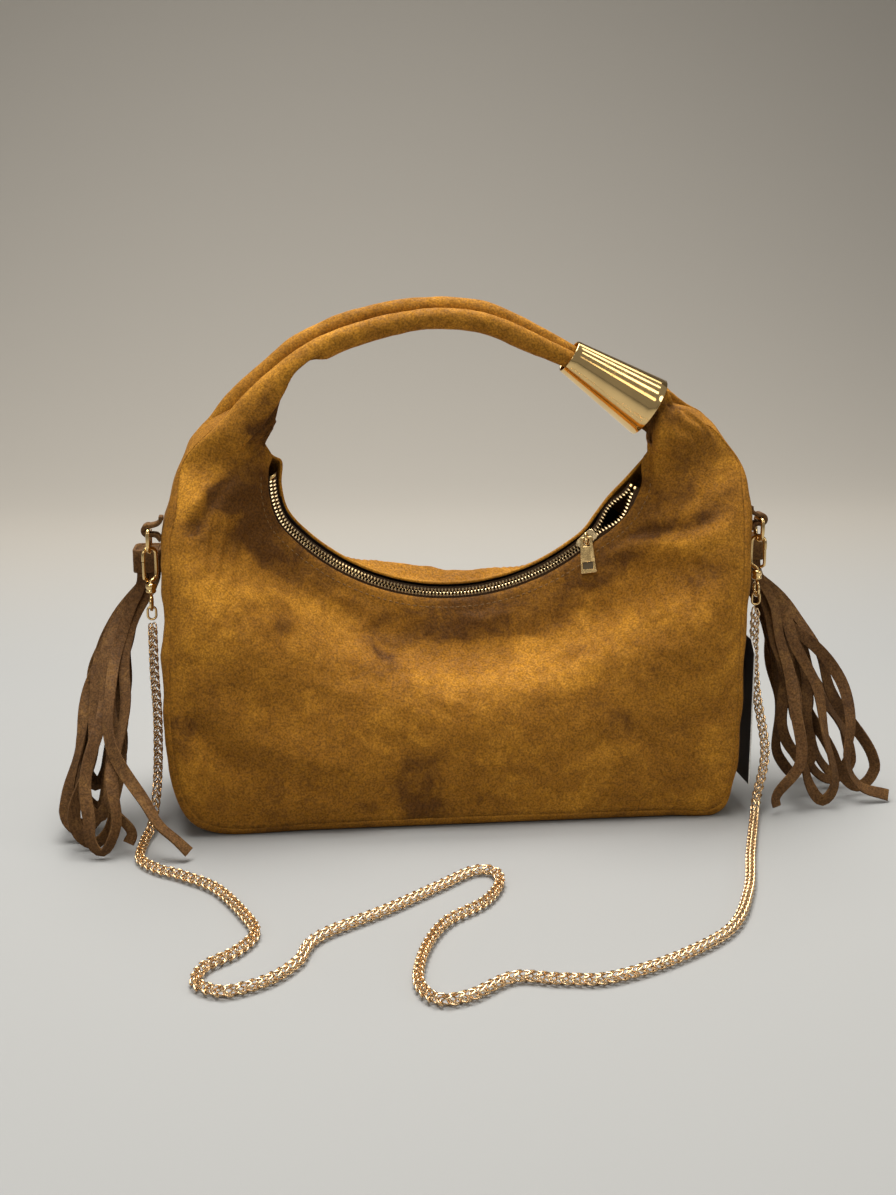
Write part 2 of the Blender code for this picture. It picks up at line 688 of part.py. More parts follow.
def arch_heights():
    plate_top = ROW_TOP + SLIDER_CLEAR + SLIDER_PLATE
    return plate_top, plate_top + ARCH_RISE - 0.5 * ARCH_WIRE


def zip_slider():
    """Two plates on a thin post, with the arch that carries the pull on the upper plate."""
    low_top = ROW_TOP - ROW_DEEP - SLIDER_CLEAR
    high_low = ROW_TOP + SLIDER_CLEAR
    half = 0.5 * SLIDER_LENGTH
    bm = bmesh.new()
    cuboid(bm, (-half, -SLIDER_HALF, high_low), (half, SLIDER_HALF, high_low + SLIDER_PLATE))
    bmesh.ops.bevel(bm, geom=list(bm.edges), offset=SLIDER_EDGE, segments=1, affect="EDGES")
    frame = zip_frame(SLIDER_AT, 0.0, 0.0)
    bmesh.ops.transform(bm, matrix=frame, verts=bm.verts)
    slider = add_object("zip_slider", bm, gold, origin=(ZIP_X, 0.0, ZIP_Z))
    bm = bmesh.new()
    cuboid(bm, (-half, -SLIDER_HALF, low_top - SLIDER_PLATE), (half, SLIDER_HALF, low_top))
    boolean(slider, helper(bm, frame), "UNION")
    bm = bmesh.new()
    sink = 0.5 * SLIDER_PLATE
    cuboid(bm, (-0.5 * POST_LENGTH, -POST_HALF, low_top - sink),
           (0.5 * POST_LENGTH, POST_HALF, high_low + sink))
    boolean(slider, helper(bm, frame), "UNION")
    plate_top, crown = arch_heights()
    reach = 0.5 * ARCH_SPAN
    route = [(-reach, 0.0, plate_top - sink), (-reach, 0.0, crown - 0.3 * ARCH_RISE),
             (-0.55 * reach, 0.0, crown), (0.55 * reach, 0.0, crown),
             (reach, 0.0, crown - 0.3 * ARCH_RISE), (reach, 0.0, plate_top - sink)]
    bm = bmesh.new()
    round_wire(bm, route, 0.5 * ARCH_WIRE, sides=8, flat=(0, 1, 0))
    turned = frame @ Matrix.Rotation(-(math.pi / 2 + PULL_TURN), 4, "Z")
    boolean(slider, helper(bm, turned), "UNION")


def pull_pivot():
    plate_top, crown = arch_heights()
    return zip_point(SLIDER_AT, 0.0, crown - 0.5 * ARCH_WIRE - 0.5 * PULL_BAR - PULL_CLEAR)


def zip_pull():
    """Flat pull with a slot at the top; its cross bar lies under the slider's arch."""
    bm = bmesh.new()
    flat = 0.5 * PULL_THICK
    cuboid(bm, (-0.5 * PULL_BAR, -0.5 * PULL_WIDTH, -flat),
           (PULL_LENGTH, 0.5 * PULL_WIDTH, flat))
    upright = [e for e in bm.edges if abs(e.verts[0].co.z - e.verts[1].co.z) > flat]
    bmesh.ops.bevel(bm, geom=upright, offset=PULL_CORNER, segments=3, affect="EDGES")
    plate = zip_frame(SLIDER_AT, 0.0, 0.0)
    turn = Matrix.Rotation(-(math.pi / 2 + PULL_TURN), 4, "Z")
    place = Matrix.Translation(Vector(pull_pivot())) @ plate.to_3x3().to_4x4() @ turn
    bmesh.ops.transform(bm, matrix=place, verts=bm.verts)
    pull = add_object("zip_pull", bm, gold, origin=tuple(pull_pivot()))
    bm = bmesh.new()
    cuboid(bm, (0.5 * PULL_BAR, -0.5 * SLOT_WIDTH, -PULL_THICK),
           (0.5 * PULL_BAR + SLOT_LENGTH, 0.5 * SLOT_WIDTH, PULL_THICK))
    boolean(pull, helper(bm, place), "DIFFERENCE")


def handle_cone():
    """Turned sheet cone, open at both rims."""
    bm = bmesh.new()
    profile = [(0.0, CONE_SMALL), (CONE_LENGTH, CONE_LARGE),
               (CONE_LENGTH, CONE_LARGE - CONE_WALL), (0.0, CONE_SMALL - CONE_WALL)]
    upper = Vector((math.sin(CONE_SLOPE), 0.0, math.cos(CONE_SLOPE)))
    axis = Vector(cone_axis())
    start = Vector(cone_point(0.0, 0.0))
    rings = []
    for turn in np.arange(36) * math.tau / 36:
        radial = math.cos(turn) * upper + math.sin(turn) * Vector((0, 1, 0))
        rings.append([start + axis * d + radial * r for d, r in profile])
    tube_from_rings(bm, rings, closed=True)
    return add_object("handle_cone", bm, gold)


def tab_face(side):
    """Where a tab's flat back meets the gusset."""
    half, wide = 0.5 * TAB_HEIGHT, 0.5 * TAB_WIDTH
    reach = side_reach(side, RING_HEIGHT - half, RING_HEIGHT + half, RING_Y - wide, RING_Y + wide)
    return side * (reach + SEAM_GAP)


def ring_axis_x(side):
    """Far enough out that the turned hook hangs clear of the gusset below."""
    half = 0.5 * (HOOK_WIDTH + HOOK_WIRE) * math.cos(HOOK_TURN)
    return side * (side_reach(side, 0.02, RING_HEIGHT) + half + HANG_CLEAR)


def hook_spot(side, wide, z):
    """A point in the hook's own plane, so far to its gate side."""
    return (ring_axis_x(side) + side * wide * math.cos(HOOK_TURN),
            RING_Y - wide * math.sin(HOOK_TURN), z)


def hook_square(side):
    """Direction square to the hook's plane."""
    return (side * math.sin(HOOK_TURN), math.cos(HOOK_TURN), 0.0)


def ring_tab(side, word):
    """Suede tab sewn to the gusset, with the ring's bar running through its fold."""
    face = tab_face(side)
    axis = ring_axis_x(side)
    far = axis + side * (0.5 * RING_WIRE + BORE_CLEAR + SUEDE)
    x = sorted((face, far))
    half = 0.5 * TAB_HEIGHT
    low = 0.5 * RING_WIRE + BORE_CLEAR + SUEDE
    bm = bmesh.new()
    cuboid(bm, (x[0], RING_Y - 0.5 * TAB_WIDTH, RING_HEIGHT - low),
           (x[1], RING_Y + 0.5 * TAB_WIDTH, RING_HEIGHT + half))
    outer = [e for e in bm.edges if all(abs(v.co.x - far) < 1e-6 for v in e.verts)
             and abs(e.verts[0].co.y - e.verts[1].co.y) > low]
    bmesh.ops.bevel(bm, geom=outer, offset=TAB_ROUND, segments=3, affect="EDGES")
    tab = add_object(f"ring_tab_{word}", bm, suede_brown)
    bm = bmesh.new()
    bmesh.ops.create_cone(bm, cap_ends=True, segments=16, depth=2 * TAB_WIDTH,
                          radius1=0.5 * RING_WIRE + BORE_CLEAR,
                          radius2=0.5 * RING_WIRE + BORE_CLEAR)
    place = Matrix.Translation((axis, RING_Y, RING_HEIGHT)) @ Matrix.Rotation(math.pi / 2, 4, "X")
    boolean(tab, helper(bm, place), "DIFFERENCE")


def ring(side, word):
    """D-shaped ring; its straight bar is the pivot."""
    axis = ring_axis_x(side)
    half = 0.5 * RING_WIDTH
    low = RING_DROP - half
    bar = half - RING_CORNER
    turn_in = (half - 0.2 * RING_CORNER, -0.55 * RING_CORNER)
    route = [(-bar, 0.0), (0.0, 0.0), (bar, 0.0), turn_in]
    for turn in np.radians(np.linspace(0.0, 180.0, 9)):
        route.append((half * math.cos(turn), -low - half * math.sin(turn)))
    route.append((-turn_in[0], turn_in[1]))
    points = [(axis, RING_Y + y, RING_HEIGHT + z) for y, z in route]
    bm = bmesh.new()
    round_wire(bm, points, 0.5 * RING_WIRE, sides=8, closed=True, flat=(1, 0, 0))
    return add_object(f"ring_{word}", bm, gold, origin=(axis, RING_Y, RING_HEIGHT))


def hook_top():
    """Height of the hook's own wire where it hangs in the ring."""
    return RING_HEIGHT - RING_DROP + 0.5 * RING_WIRE + 0.5 * HOOK_WIRE + SEAM_GAP


def block_top():
    return hook_top() - HOOK_LENGTH


def hook(side, word):
    """Snap hook: a bow open at its outer side for the gate, on a short swivel block."""
    axis = ring_axis_x(side)
    top = hook_top()
    half = 0.5 * HOOK_WIDTH
    low = block_top()
    route = [(0.0, low - 0.5 * BLOCK_LENGTH), (0.0, low + 0.1 * HOOK_SHOULDER),
             (-half * 0.75, low + 0.47 * HOOK_SHOULDER), (-half, low + HOOK_SHOULDER)]
    for turn in np.radians(np.linspace(180.0, 0.0, 9)):
        route.append((half * math.cos(turn), top - half + half * math.sin(turn)))
    route.append((half, top - half - HOOK_NOSE))
    points = [hook_spot(side, x, z) for x, z in route]
    bm = bmesh.new()
    round_wire(bm, points, 0.5 * HOOK_WIRE, sides=8, flat=hook_square(side))
    made = add_object(f"hook_{word}", bm, gold, origin=(axis, RING_Y, top))
    bm = bmesh.new()
    bmesh.ops.create_cone(bm, cap_ends=True, segments=16, radius1=BLOCK_RADIUS,
                          radius2=BLOCK_RADIUS, depth=BLOCK_LENGTH)
    bmesh.ops.bevel(bm, geom=[e for e in bm.edges if len(e.link_faces[0].verts) > 4
                              or len(e.link_faces[1].verts) > 4],
                    offset=BLOCK_EDGE, segments=2, affect="EDGES")
    place = Matrix.Translation((axis, RING_Y, low - 0.5 * BLOCK_LENGTH))
    boolean(made, helper(bm, place), "UNION")


def gate_pivot(side):
    """The gate turns at the foot of the hook's open side."""
    return hook_spot(side, 0.5 * HOOK_WIDTH, block_top() + GATE_FOOT)


def gate(side, word):
    """Sprung gate that closes the hook's open side; it swings into the bow."""
    wide = 0.5 * HOOK_WIDTH
    z = block_top() + GATE_FOOT
    nose = hook_top() - wide - HOOK_NOSE
    foot = [(wide - HOOK_WIRE, z - 0.3 * GATE_FOOT), (wide - 0.27 * HOOK_WIRE, z),
            (wide, z + 0.4 * GATE_FOOT), (wide, nose - SEAM_GAP)]
    bm = bmesh.new()
    round_wire(bm, [hook_spot(side, a, b) for a, b in foot], 0.5 * GATE_WIRE, sides=8,
               flat=hook_square(side))
    return add_object(f"gate_{word}", bm, gold, origin=gate_pivot(side))


def eye_top():
    return block_top() - BLOCK_LENGTH - SWIVEL_CLEAR


def swivel_eye(side, word):
    """Eye under the block, turning on the hook's long axis."""
    axis = ring_axis_x(side)
    top = eye_top()
    radius = 0.5 * EYE_LENGTH
    centre = top - 0.5 * EYE_WIRE - radius
    points = [(axis, RING_Y + radius * math.cos(a), centre + radius * math.sin(a))
              for a in np.arange(16) * math.tau / 16]
    bm = bmesh.new()
    round_wire(bm, points, 0.5 * EYE_WIRE, sides=8, closed=True, flat=(1, 0, 0))
    return add_object(f"swivel_eye_{word}", bm, gold, origin=(axis, RING_Y, top))


def link_crown():
    """Height of the end link's top wire where it hangs in the eye."""
    return eye_top() - EYE_LENGTH + 0.5 * LINK_WIRE + SEAM_GAP


def end_link(side, word):
    """Long link that hangs square to the eye and carries the chain."""
    axis = ring_axis_x(side)
    wide = LINK_HALF
    top = link_crown()
    low = top - LINK_LENGTH + LINK_WIRE
    points = []
    for a in np.radians(np.linspace(0.0, 180.0, 6)):
        points.append((axis + wide * math.cos(a), RING_Y, top - wide + wide * math.sin(a)))
    for a in np.radians(np.linspace(180.0, 360.0, 6)):
        points.append((axis + wide * math.cos(a), RING_Y, low + wide + wide * math.sin(a)))
    bm = bmesh.new()
    round_wire(bm, points, 0.5 * LINK_WIRE, sides=6, closed=True, flat=(0, 1, 0))
    return add_object(f"end_link_{word}", bm, gold, origin=(axis, RING_Y, eye_top()))


def chain_top():
    return link_crown() - LINK_LENGTH + 0.5 * LINK_WIRE - SEAM_GAP


def chain_route():
    """The strap's own route: down from the left hook, across the table, up to the right hook."""
    left, right, floor, top = ring_axis_x(-1), ring_axis_x(1), CHAIN_FLOOR, chain_top()
    return [
        (left, RING_Y, top), (left, RING_Y - 0.001, top - 0.030),
        (left + 0.001, RING_Y - 0.004, 0.060), (left, RING_Y - 0.010, 0.026),
        (left - 0.002, RING_Y - 0.030, 0.007), (left - 0.005, RING_Y - 0.052, floor),
        (left - 0.005, RING_Y - 0.076, floor), (-0.182, -0.108, floor),
        (-0.167, -0.120, floor), (-0.148, -0.140, floor),
        (-0.132, -0.176, floor), (-0.128, -0.195, floor), (-0.136, -0.213, floor),
        (-0.150, -0.228, floor), (-0.153, -0.243, floor), (-0.141, -0.253, floor),
        (-0.122, -0.245, floor), (-0.108, -0.228, floor), (-0.097, -0.202, floor),
        (-0.062, -0.174, floor), (-0.033, -0.148, floor), (-0.014, -0.131, floor),
        (-0.003, -0.132, floor), (-0.001, -0.147, floor), (-0.012, -0.170, floor),
        (-0.034, -0.192, floor), (-0.047, -0.220, floor), (-0.053, -0.252, floor),
        (-0.047, -0.270, floor), (-0.032, -0.269, floor), (-0.010, -0.254, floor),
        (0.012, -0.258, floor), (0.034, -0.259, floor), (0.070, -0.242, floor),
        (0.104, -0.214, floor), (0.126, -0.172, floor), (0.143, -0.122, floor),
        (0.158, -0.080, floor), (0.167, -0.056, 0.010), (right + 0.002, RING_Y - 0.024, 0.034),
        (right + 0.001, RING_Y - 0.006, 0.066), (right, RING_Y - 0.001, top - 0.030),
        (right, RING_Y, top),
    ]


def chain_strap():
    points = through(chain_route(), CHAIN_POINTS)
    points[:, 2] = np.maximum(points[:, 2], CHAIN_FLOOR)
    curve = bpy.data.curves.new("chain_strap", "CURVE")
    curve.dimensions = "3D"
    curve.bevel_depth = 0.5 * CHAIN_DIAMETER
    curve.bevel_resolution = 2
    curve.use_fill_caps = True
    spline = curve.splines.new("POLY")
    spline.points.add(len(points) - 1)
    for point, place in zip(spline.points, points):
        point.co = (*place, 1.0)
    made = bpy.data.objects.new("chain_strap", curve)
    bpy.context.scene.collection.objects.link(made)
    curve.materials.append(gold("chain_strap"))
    return made


def band_centre(side):
    reach = side_reach(side, BAND_Z - 0.5 * BAND_HEIGHT, BAND_Z + 0.5 * BAND_HEIGHT)
    depth = 2 * THONG_WIDTH + STRAND_GAP + 2 * BAND_WALL + 2 * SEAM_GAP
    return side * (reach + SEAM_GAP + 0.5 * depth), depth


def fringe_band(side, word):
    """Suede sleeve sewn on the gusset that holds the tops of the thongs."""
    x, depth = band_centre(side)
    outer = (0.5 * depth, 0.5 * BAND_WIDTH)
    bm = bmesh.new()
    loops = []
    for z, inset in ((-1, 0.0), (1, 0.0), (1, BAND_WALL), (-1, BAND_WALL)):
        a, b = outer[0] - inset, outer[1] - inset
        loops.append([(x + dx * a, BAND_Y + dy * b, BAND_Z + 0.5 * z * BAND_HEIGHT)
                      for dx, dy in ((-1, -1), (1, -1), (1, 1), (-1, 1))])
    tube_from_rings(bm, loops, closed=True)
    return add_object(f"fringe_band_{word}", bm, suede_brown, smooth=False)


# Each thong hangs as a long loop in its own thin slice of space, and the slices fan out lower
# down, so that no two meet. A route gives, at each point: reach out from the band, height, twist.


def slice_y(side, index, height):
    """Front-to-back place of a thong's slice at a height."""
    place = index - 0.5 * (THONG_COUNT - 1)
    top = BAND_Z - 0.5 * BAND_HEIGHT
    down = min(max((top - height) / top, 0.0), 1.0)
    down = down * down * (3 - 2 * down)
    near = BAND_Y + place * THONG_PITCH
    foot = FOOT_Y[side] + place * FAN_PITCH
    return near + (foot - near) * down


def thong_route(side, index):
    """Down the outer column, round the loop at the foot and back up the inner column."""
    reach, low, wide, lean = (LEFT_LOOPS if side < 0 else RIGHT_LOOPS)[index]
    centre, _ = band_centre(side)
    column = 0.5 * (THONG_WIDTH + STRAND_GAP)
    top = BAND_Z + 0.5 * BAND_HEIGHT - 0.001
    neck = BAND_Z - 0.5 * BAND_HEIGHT - 0.003
    high = neck - 0.030
    middle = 0.5 * (high + low) + 0.010
    out = column + CLEAR_OF_CHAIN
    start = [(column, top), (column, BAND_Z), (column, neck), (column + 0.002, neck - 0.007)]
    if wide == 0.0:
        path = start + [(out, high), (out + 0.5 * max(reach, 0.0) + 0.004, middle),
                        (out + 0.5 * reach, low + 0.024), (column + 0.75 * reach, low + 0.007),
                        (column + reach, low)]
    else:
        path = start + [(out + 0.22 * reach, high), (out + 0.56 * reach + 0.006 * lean, middle),
                        (column + 0.96 * reach + wide * 0.5, low + 0.020),
                        (column + reach + wide * 0.42, low + 0.007), (column + reach, low),
                        (column + reach - wide * 0.42, low + 0.007),
                        (column + 0.90 * reach - wide * 0.5, low + 0.022),
                        (out - 2 * column + 0.4 * reach - 0.001, middle - 0.004),
                        (out - 2 * column + 0.12 * reach, high), (-column + 0.002, neck - 0.007),
                        (-column, neck), (-column, BAND_Z), (-column, top)]
    fine = through([(centre + side * x, z) for x, z in path], THONG_STATIONS)
    return np.array([(x, slice_y(side, index, z), z) for x, z in fine])


def thong(side, word, index):
    """A flat strip along its route, its broad face to the front."""
    points = thong_route(side, index)
    along = np.gradient(points, axis=0)
    step = 0.0005
    lean = [(slice_y(side, index, z + step) - slice_y(side, index, z - step)) / (2 * step)
            for z in points[:, 2]]
    thick = np.stack([np.zeros(len(lean)), np.ones(len(lean)), -np.array(lean)], axis=1)
    thick = thick / np.linalg.norm(thick, axis=1, keepdims=True)
    broad = np.cross(along, thick)
    broad = broad / np.linalg.norm(broad, axis=1, keepdims=True)
    a, b = 0.5 * THONG_WIDTH * broad, 0.5 * THONG_THICK * thick
    rings = np.stack([points - a - b, points + a - b, points + a + b, points - a + b], axis=1)
    bm = bmesh.new()
    tube_from_rings(bm, rings)
    return add_object(f"thong_{word}_{index + 1:02d}", bm, suede_brown, smooth=False)


def tag_centre():
    reach = side_reach(1, 0.02, TAG_TOP + 0.012)
    return np.array([reach + 0.5 * TAG_THICK + 0.0012, -0.028, TAG_TOP - 0.5 * TAG_HEIGHT])


def swing_tag():
    """Card tag hanging flat beside the right gusset, its two upper corners cut off."""
    centre = tag_centre()
    half, high, cut = 0.5 * TAG_WIDTH, 0.5 * TAG_HEIGHT, TAG_CORNER
    outline = [(-half, -high), (half, -high), (half, high - cut), (half - cut, high),
               (-half + cut, high), (-half, high - cut)]
    rings = [[(centre[0] + dx, centre[1] + y, centre[2] + z) for y, z in outline]
             for dx in (-0.5 * TAG_THICK, 0.5 * TAG_THICK)]
    bm = bmesh.new()
    tube_from_rings(bm, rings)
    return add_object("swing_tag", bm, black_card, smooth=False)


def tag_string():
    """Short string from the fringe band down to the tag."""
    centre = tag_centre()
    x, depth = band_centre(1)
    front = BAND_Y - 0.5 * BAND_WIDTH - 0.5 * STRING_DIAMETER - SEAM_GAP
    top = BAND_Z - 0.25 * BAND_HEIGHT
    low = TAG_TOP + 0.5 * STRING_DIAMETER + SEAM_GAP
    route = [(x - 0.40 * depth, front, top), (x - 0.41 * depth, front - 0.003, top - 0.014),
             (centre[0] + 0.0010, centre[1] + 0.014, low + 0.012), (centre[0], centre[1], low)]
    bm = bmesh.new()
    round_wire(bm, through(route, 9), 0.5 * STRING_DIAMETER, sides=6, flat=(1, 0, 0))
    return add_object("tag_string", bm, white_thread)


def build():
    for old in list(bpy.data.objects):
        bpy.data.objects.remove(old, do_unlink=True)
    panel("front_panel", -1)
    panel("back_panel", 1)
    gusset_base()
    handle_cone()
    zip_rows()
    zip_stops()
    zip_slider()
    zip_pull()
    for side, word in ((-1, "left"), (1, "right")):
        ring_tab(side, word)
        ring(side, word)
        hook(side, word)
        gate(side, word)
        swivel_eye(side, word)
        end_link(side, word)
        fringe_band(side, word)
        for index in range(THONG_COUNT):
            thong(side, word, index)
    chain_strap()
    swing_tag()
    tag_string()


build()
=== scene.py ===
# Dressed model of a fringed suede shoulder bag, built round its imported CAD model.
import math

import bpy
import numpy as np
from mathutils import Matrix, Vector


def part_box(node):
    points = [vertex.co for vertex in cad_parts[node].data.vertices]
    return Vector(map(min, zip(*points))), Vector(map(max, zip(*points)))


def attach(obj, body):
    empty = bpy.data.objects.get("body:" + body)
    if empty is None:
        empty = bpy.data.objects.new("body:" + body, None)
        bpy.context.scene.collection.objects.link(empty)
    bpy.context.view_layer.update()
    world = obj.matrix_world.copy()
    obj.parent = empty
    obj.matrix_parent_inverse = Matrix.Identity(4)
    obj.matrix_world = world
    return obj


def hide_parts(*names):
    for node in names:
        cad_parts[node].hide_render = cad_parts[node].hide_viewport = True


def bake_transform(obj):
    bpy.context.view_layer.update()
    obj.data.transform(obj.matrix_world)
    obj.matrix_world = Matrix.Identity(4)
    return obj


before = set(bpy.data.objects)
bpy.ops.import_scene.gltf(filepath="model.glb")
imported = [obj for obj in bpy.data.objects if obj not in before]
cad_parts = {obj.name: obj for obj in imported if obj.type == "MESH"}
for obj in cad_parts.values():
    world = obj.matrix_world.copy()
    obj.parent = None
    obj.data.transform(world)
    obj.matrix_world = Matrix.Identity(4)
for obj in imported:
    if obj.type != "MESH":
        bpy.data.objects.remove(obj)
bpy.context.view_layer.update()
mm = 0.001
tau = math.tau
floorUp = np.array([0.0, 0.0, 1.0])
print("stage: frame loaded")


# Camera

cameraView = {
    "place": (-0.108, -0.870, 0.317),
    "turn": (77.6, 0.0, -6.3),      # degrees
    "lens": 44.74,
}


def makeCamera(view):
    data = bpy.data.cameras.new("viewCamera")
    data.lens = view["lens"]
    data.sensor_width = 36.0
    data.clip_start = 0.02
    made = bpy.data.objects.new("viewCamera", data)
    made.location = view["place"]
    made.rotation_euler = [math.radians(a) for a in view["turn"]]
    bpy.context.scene.collection.objects.link(made)
    bpy.context.scene.camera = made


makeCamera(cameraView)
bpy.context.scene.view_settings.view_transform = "Standard"


# Small tools on whole arrays

def unit(rows):
    return rows / np.maximum(np.linalg.norm(rows, axis=-1, keepdims=True), 1e-12)


def smoothStep(values, low, high):
    # 0 below low, 1 above high, and 3t^2 - 2t^3 between
    share = np.clip((np.asarray(values, float) - low) / (high - low), 0.0, 1.0)
    return share * share * (3.0 - 2.0 * share)


def catmullRom(rows, perStep):
    # Each span is the cubic through its two rows that leaves them along their neighbours' chords
    rows = np.asarray(rows, float)
    padded = np.concatenate([2 * rows[:1] - rows[1:2], rows, 2 * rows[-1:] - rows[-2:-1]])
    a, b, c, d = (padded[k:k + len(rows) - 1][:, None] for k in range(4))
    t = (np.arange(perStep) / perStep)[None, :, None]
    span = 0.5 * (2 * b + (c - a) * t + (2 * a - 5 * b + 4 * c - d) * t**2
                  + (3 * b - a - 3 * c + d) * t**3)
    return np.concatenate([span.reshape(-1, rows.shape[1]), rows[-1:]])


def lengthAlong(points):
    steps = np.linalg.norm(np.diff(points, axis=0), axis=1)
    return np.concatenate([[0.0], np.cumsum(steps)])


def atLengths(points, where):
    run = lengthAlong(points)
    return np.stack([np.interp(where, run, points[:, k]) for k in range(points.shape[1])], axis=1)


def evenly(points, count):
    return atLengths(points, np.linspace(0.0, lengthAlong(points)[-1], count))


def waves(points, size, seed, count=9):
    # Smooth noise from about -1 to 1: a sum of cosines in seeded directions, one swing per size
    pick = np.random.default_rng(seed)
    turn = unit(pick.normal(size=(count, 3)))
    reach = tau / (size * pick.uniform(0.75, 1.5, count))
    phase = pick.uniform(0.0, tau, count)
    return np.cos(points @ (turn * reach[:, None]).T + phase).sum(axis=-1) / math.sqrt(count)


def gridFaces(rows, columns, wrapColumns=False, wrapRows=False):
    index = np.arange(rows * columns).reshape(rows, columns)
    if wrapRows:
        index = np.vstack([index, index[:1]])
    if wrapColumns:
        index = np.hstack([index, index[:, :1]])
    corners = [index[:-1, :-1], index[:-1, 1:], index[1:, 1:], index[1:, :-1]]
    return np.stack(corners, axis=-1).reshape(-1, 4)


def cappedFaces(rows, sides):
    # A closed skin over rings: the quads between them, then a cap on the first and on the last ring
    last = (rows - 1) * sides
    caps = [list(range(sides))[::-1], list(range(last, last + sides))]
    return gridFaces(rows, sides, wrapColumns=True).tolist() + caps


def turnedOver(faces):
    return [face[::-1] for face in faces]


def putMesh(name, points, faces, finishes, faceFinish=None, smooth=True, values=None, uv=None):
    # One object from arrays; values are named numbers at the points, uv a pair at each point
    mesh = bpy.data.meshes.new(name)
    points = np.asarray(points, float).reshape(-1, 3)
    mesh.from_pydata(points.tolist(), [], [list(map(int, face)) for face in faces])
    for finish in finishes:
        mesh.materials.append(finish)
    if faceFinish is not None:
        mesh.polygons.foreach_set("material_index", np.asarray(faceFinish, np.int32))
    for label, numbers in (values or {}).items():
        layer = mesh.attributes.new(label, "FLOAT", "POINT")
        layer.data.foreach_set("value", np.asarray(numbers, np.float32).reshape(-1))
    if uv is not None:
        corner = np.empty(len(mesh.loops), np.int32)
        mesh.loops.foreach_get("vertex_index", corner)
        layer = mesh.uv_layers.new(name="along")
        layer.data.foreach_set("uv", np.asarray(uv, np.float32).reshape(-1, 2)[corner].reshape(-1))
    if smooth:
        mesh.shade_smooth()
    mesh.update()
    made = bpy.data.objects.new(name, mesh)
    bpy.context.scene.collection.objects.link(made)
    return made


def dress(piece, body, slotName, *nodes):
    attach(piece, body)
    if nodes:
        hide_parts(*nodes)
    return piece


def bevelled(piece, width, segments=2, angle=30.0):
    step = piece.modifiers.new("softEdges", "BEVEL")
    step.width = width
    step.segments = segments
    step.limit_method = "ANGLE"
    step.angle_limit = math.radians(angle)
    piece.data.set_sharp_from_angle(angle=math.radians(35))
    return piece


def copiesOf(points, faces, places, frames):
    # A small shape repeated: every copy is place + shape times the rows of its own frame
    all3 = places[:, None, :] + np.einsum("vk,nkj->nvj", points, frames)
    shift = np.arange(len(places))[:, None, None] * len(points)
    return all3.reshape(-1, 3), (np.asarray(faces)[None] + shift).reshape(-1, len(faces[0]))


def tubeGrid(path, radius, sides, flat, closed=False):
    # A round wire: at each point a ring of the radius, square to the path and turned level with flat
    path = np.asarray(path, float)
    if closed:
        ahead = np.roll(path, -1, axis=0) - np.roll(path, 1, axis=0)
    else:
        ahead = np.gradient(path, axis=0)
    ahead = unit(ahead)
    side = unit(np.cross(np.broadcast_to(flat, path.shape), ahead))
    up = np.cross(ahead, side)
    turn = np.arange(sides) * tau / sides
    radius = np.broadcast_to(radius, (len(path),))[:, None, None]
    ring = np.cos(turn)[None, :, None] * side[:, None] + np.sin(turn)[None, :, None] * up[:, None]
    return path[:, None] + radius * ring


# Shader nodes

def addNode(tree, kind, links=(), **settings):
    # A node with its settings; each input gets a link from a socket, or else a fixed value
    node = tree.nodes.new(kind)
    for key, value in settings.items():
        setattr(node, key, value)
    for key, value in dict(links).items():
        if isinstance(value, bpy.types.NodeSocket):
            tree.links.new(value, node.inputs[key])
        else:
            node.inputs[key].default_value = value
    return node


def noiseOf(tree, vector, scale, detail=2.0, roughness=0.5, distortion=0.0):
    node = addNode(tree, "ShaderNodeTexNoise", {
        "Vector": vector, "Scale": scale, "Detail": detail, "Roughness": roughness,
        "Distortion": distortion})
    return node.outputs[0]


def stretched(tree, value, low, high, start=0.0, stop=1.0):
    node = addNode(tree, "ShaderNodeMapRange", {
        "Value": value, "From Min": low, "From Max": high, "To Min": start, "To Max": stop},
        interpolation_type="SMOOTHSTEP")
    return node.outputs[0]


def worked(tree, how, first, second):
    return addNode(tree, "ShaderNodeMath", {0: first, 1: second}, operation=how).outputs[0]


def mixedColour(tree, share, first, second, how="MIX"):
    node = addNode(tree, "ShaderNodeMix", {0: share, 6: first, 7: second},
                   data_type="RGBA", blend_type=how)
    return node.outputs[2]


def newGroup(name, inputs, outputs):
    group = bpy.data.node_groups.new(name, "ShaderNodeTree")
    for label, kind, value in inputs:
        made = group.interface.new_socket(name=label, in_out="INPUT", socket_type=kind)
        if value is not None:
            made.default_value = value
    for label, kind in outputs:
        group.interface.new_socket(name=label, in_out="OUTPUT", socket_type=kind)
    start = group.nodes.new("NodeGroupInput")
    end = group.nodes.new("NodeGroupOutput")
    return group, start, end


def newMaterial(name, viewColour):
    made = bpy.data.materials.new(name)
    made.use_nodes = True
    made.diffuse_color = (*viewColour, 1.0)
    tree = made.node_tree
    shader = tree.nodes["Principled BSDF"]
    place = addNode(tree, "ShaderNodeTexCoord").outputs["Object"]
    return made, tree, shader, place


def bumpInto(tree, shader, height, strength, distance):
    node = addNode(tree, "ShaderNodeBump", {
        "Height": height, "Strength": strength, "Distance": distance})
    tree.links.new(node.outputs[0], shader.inputs["Normal"])


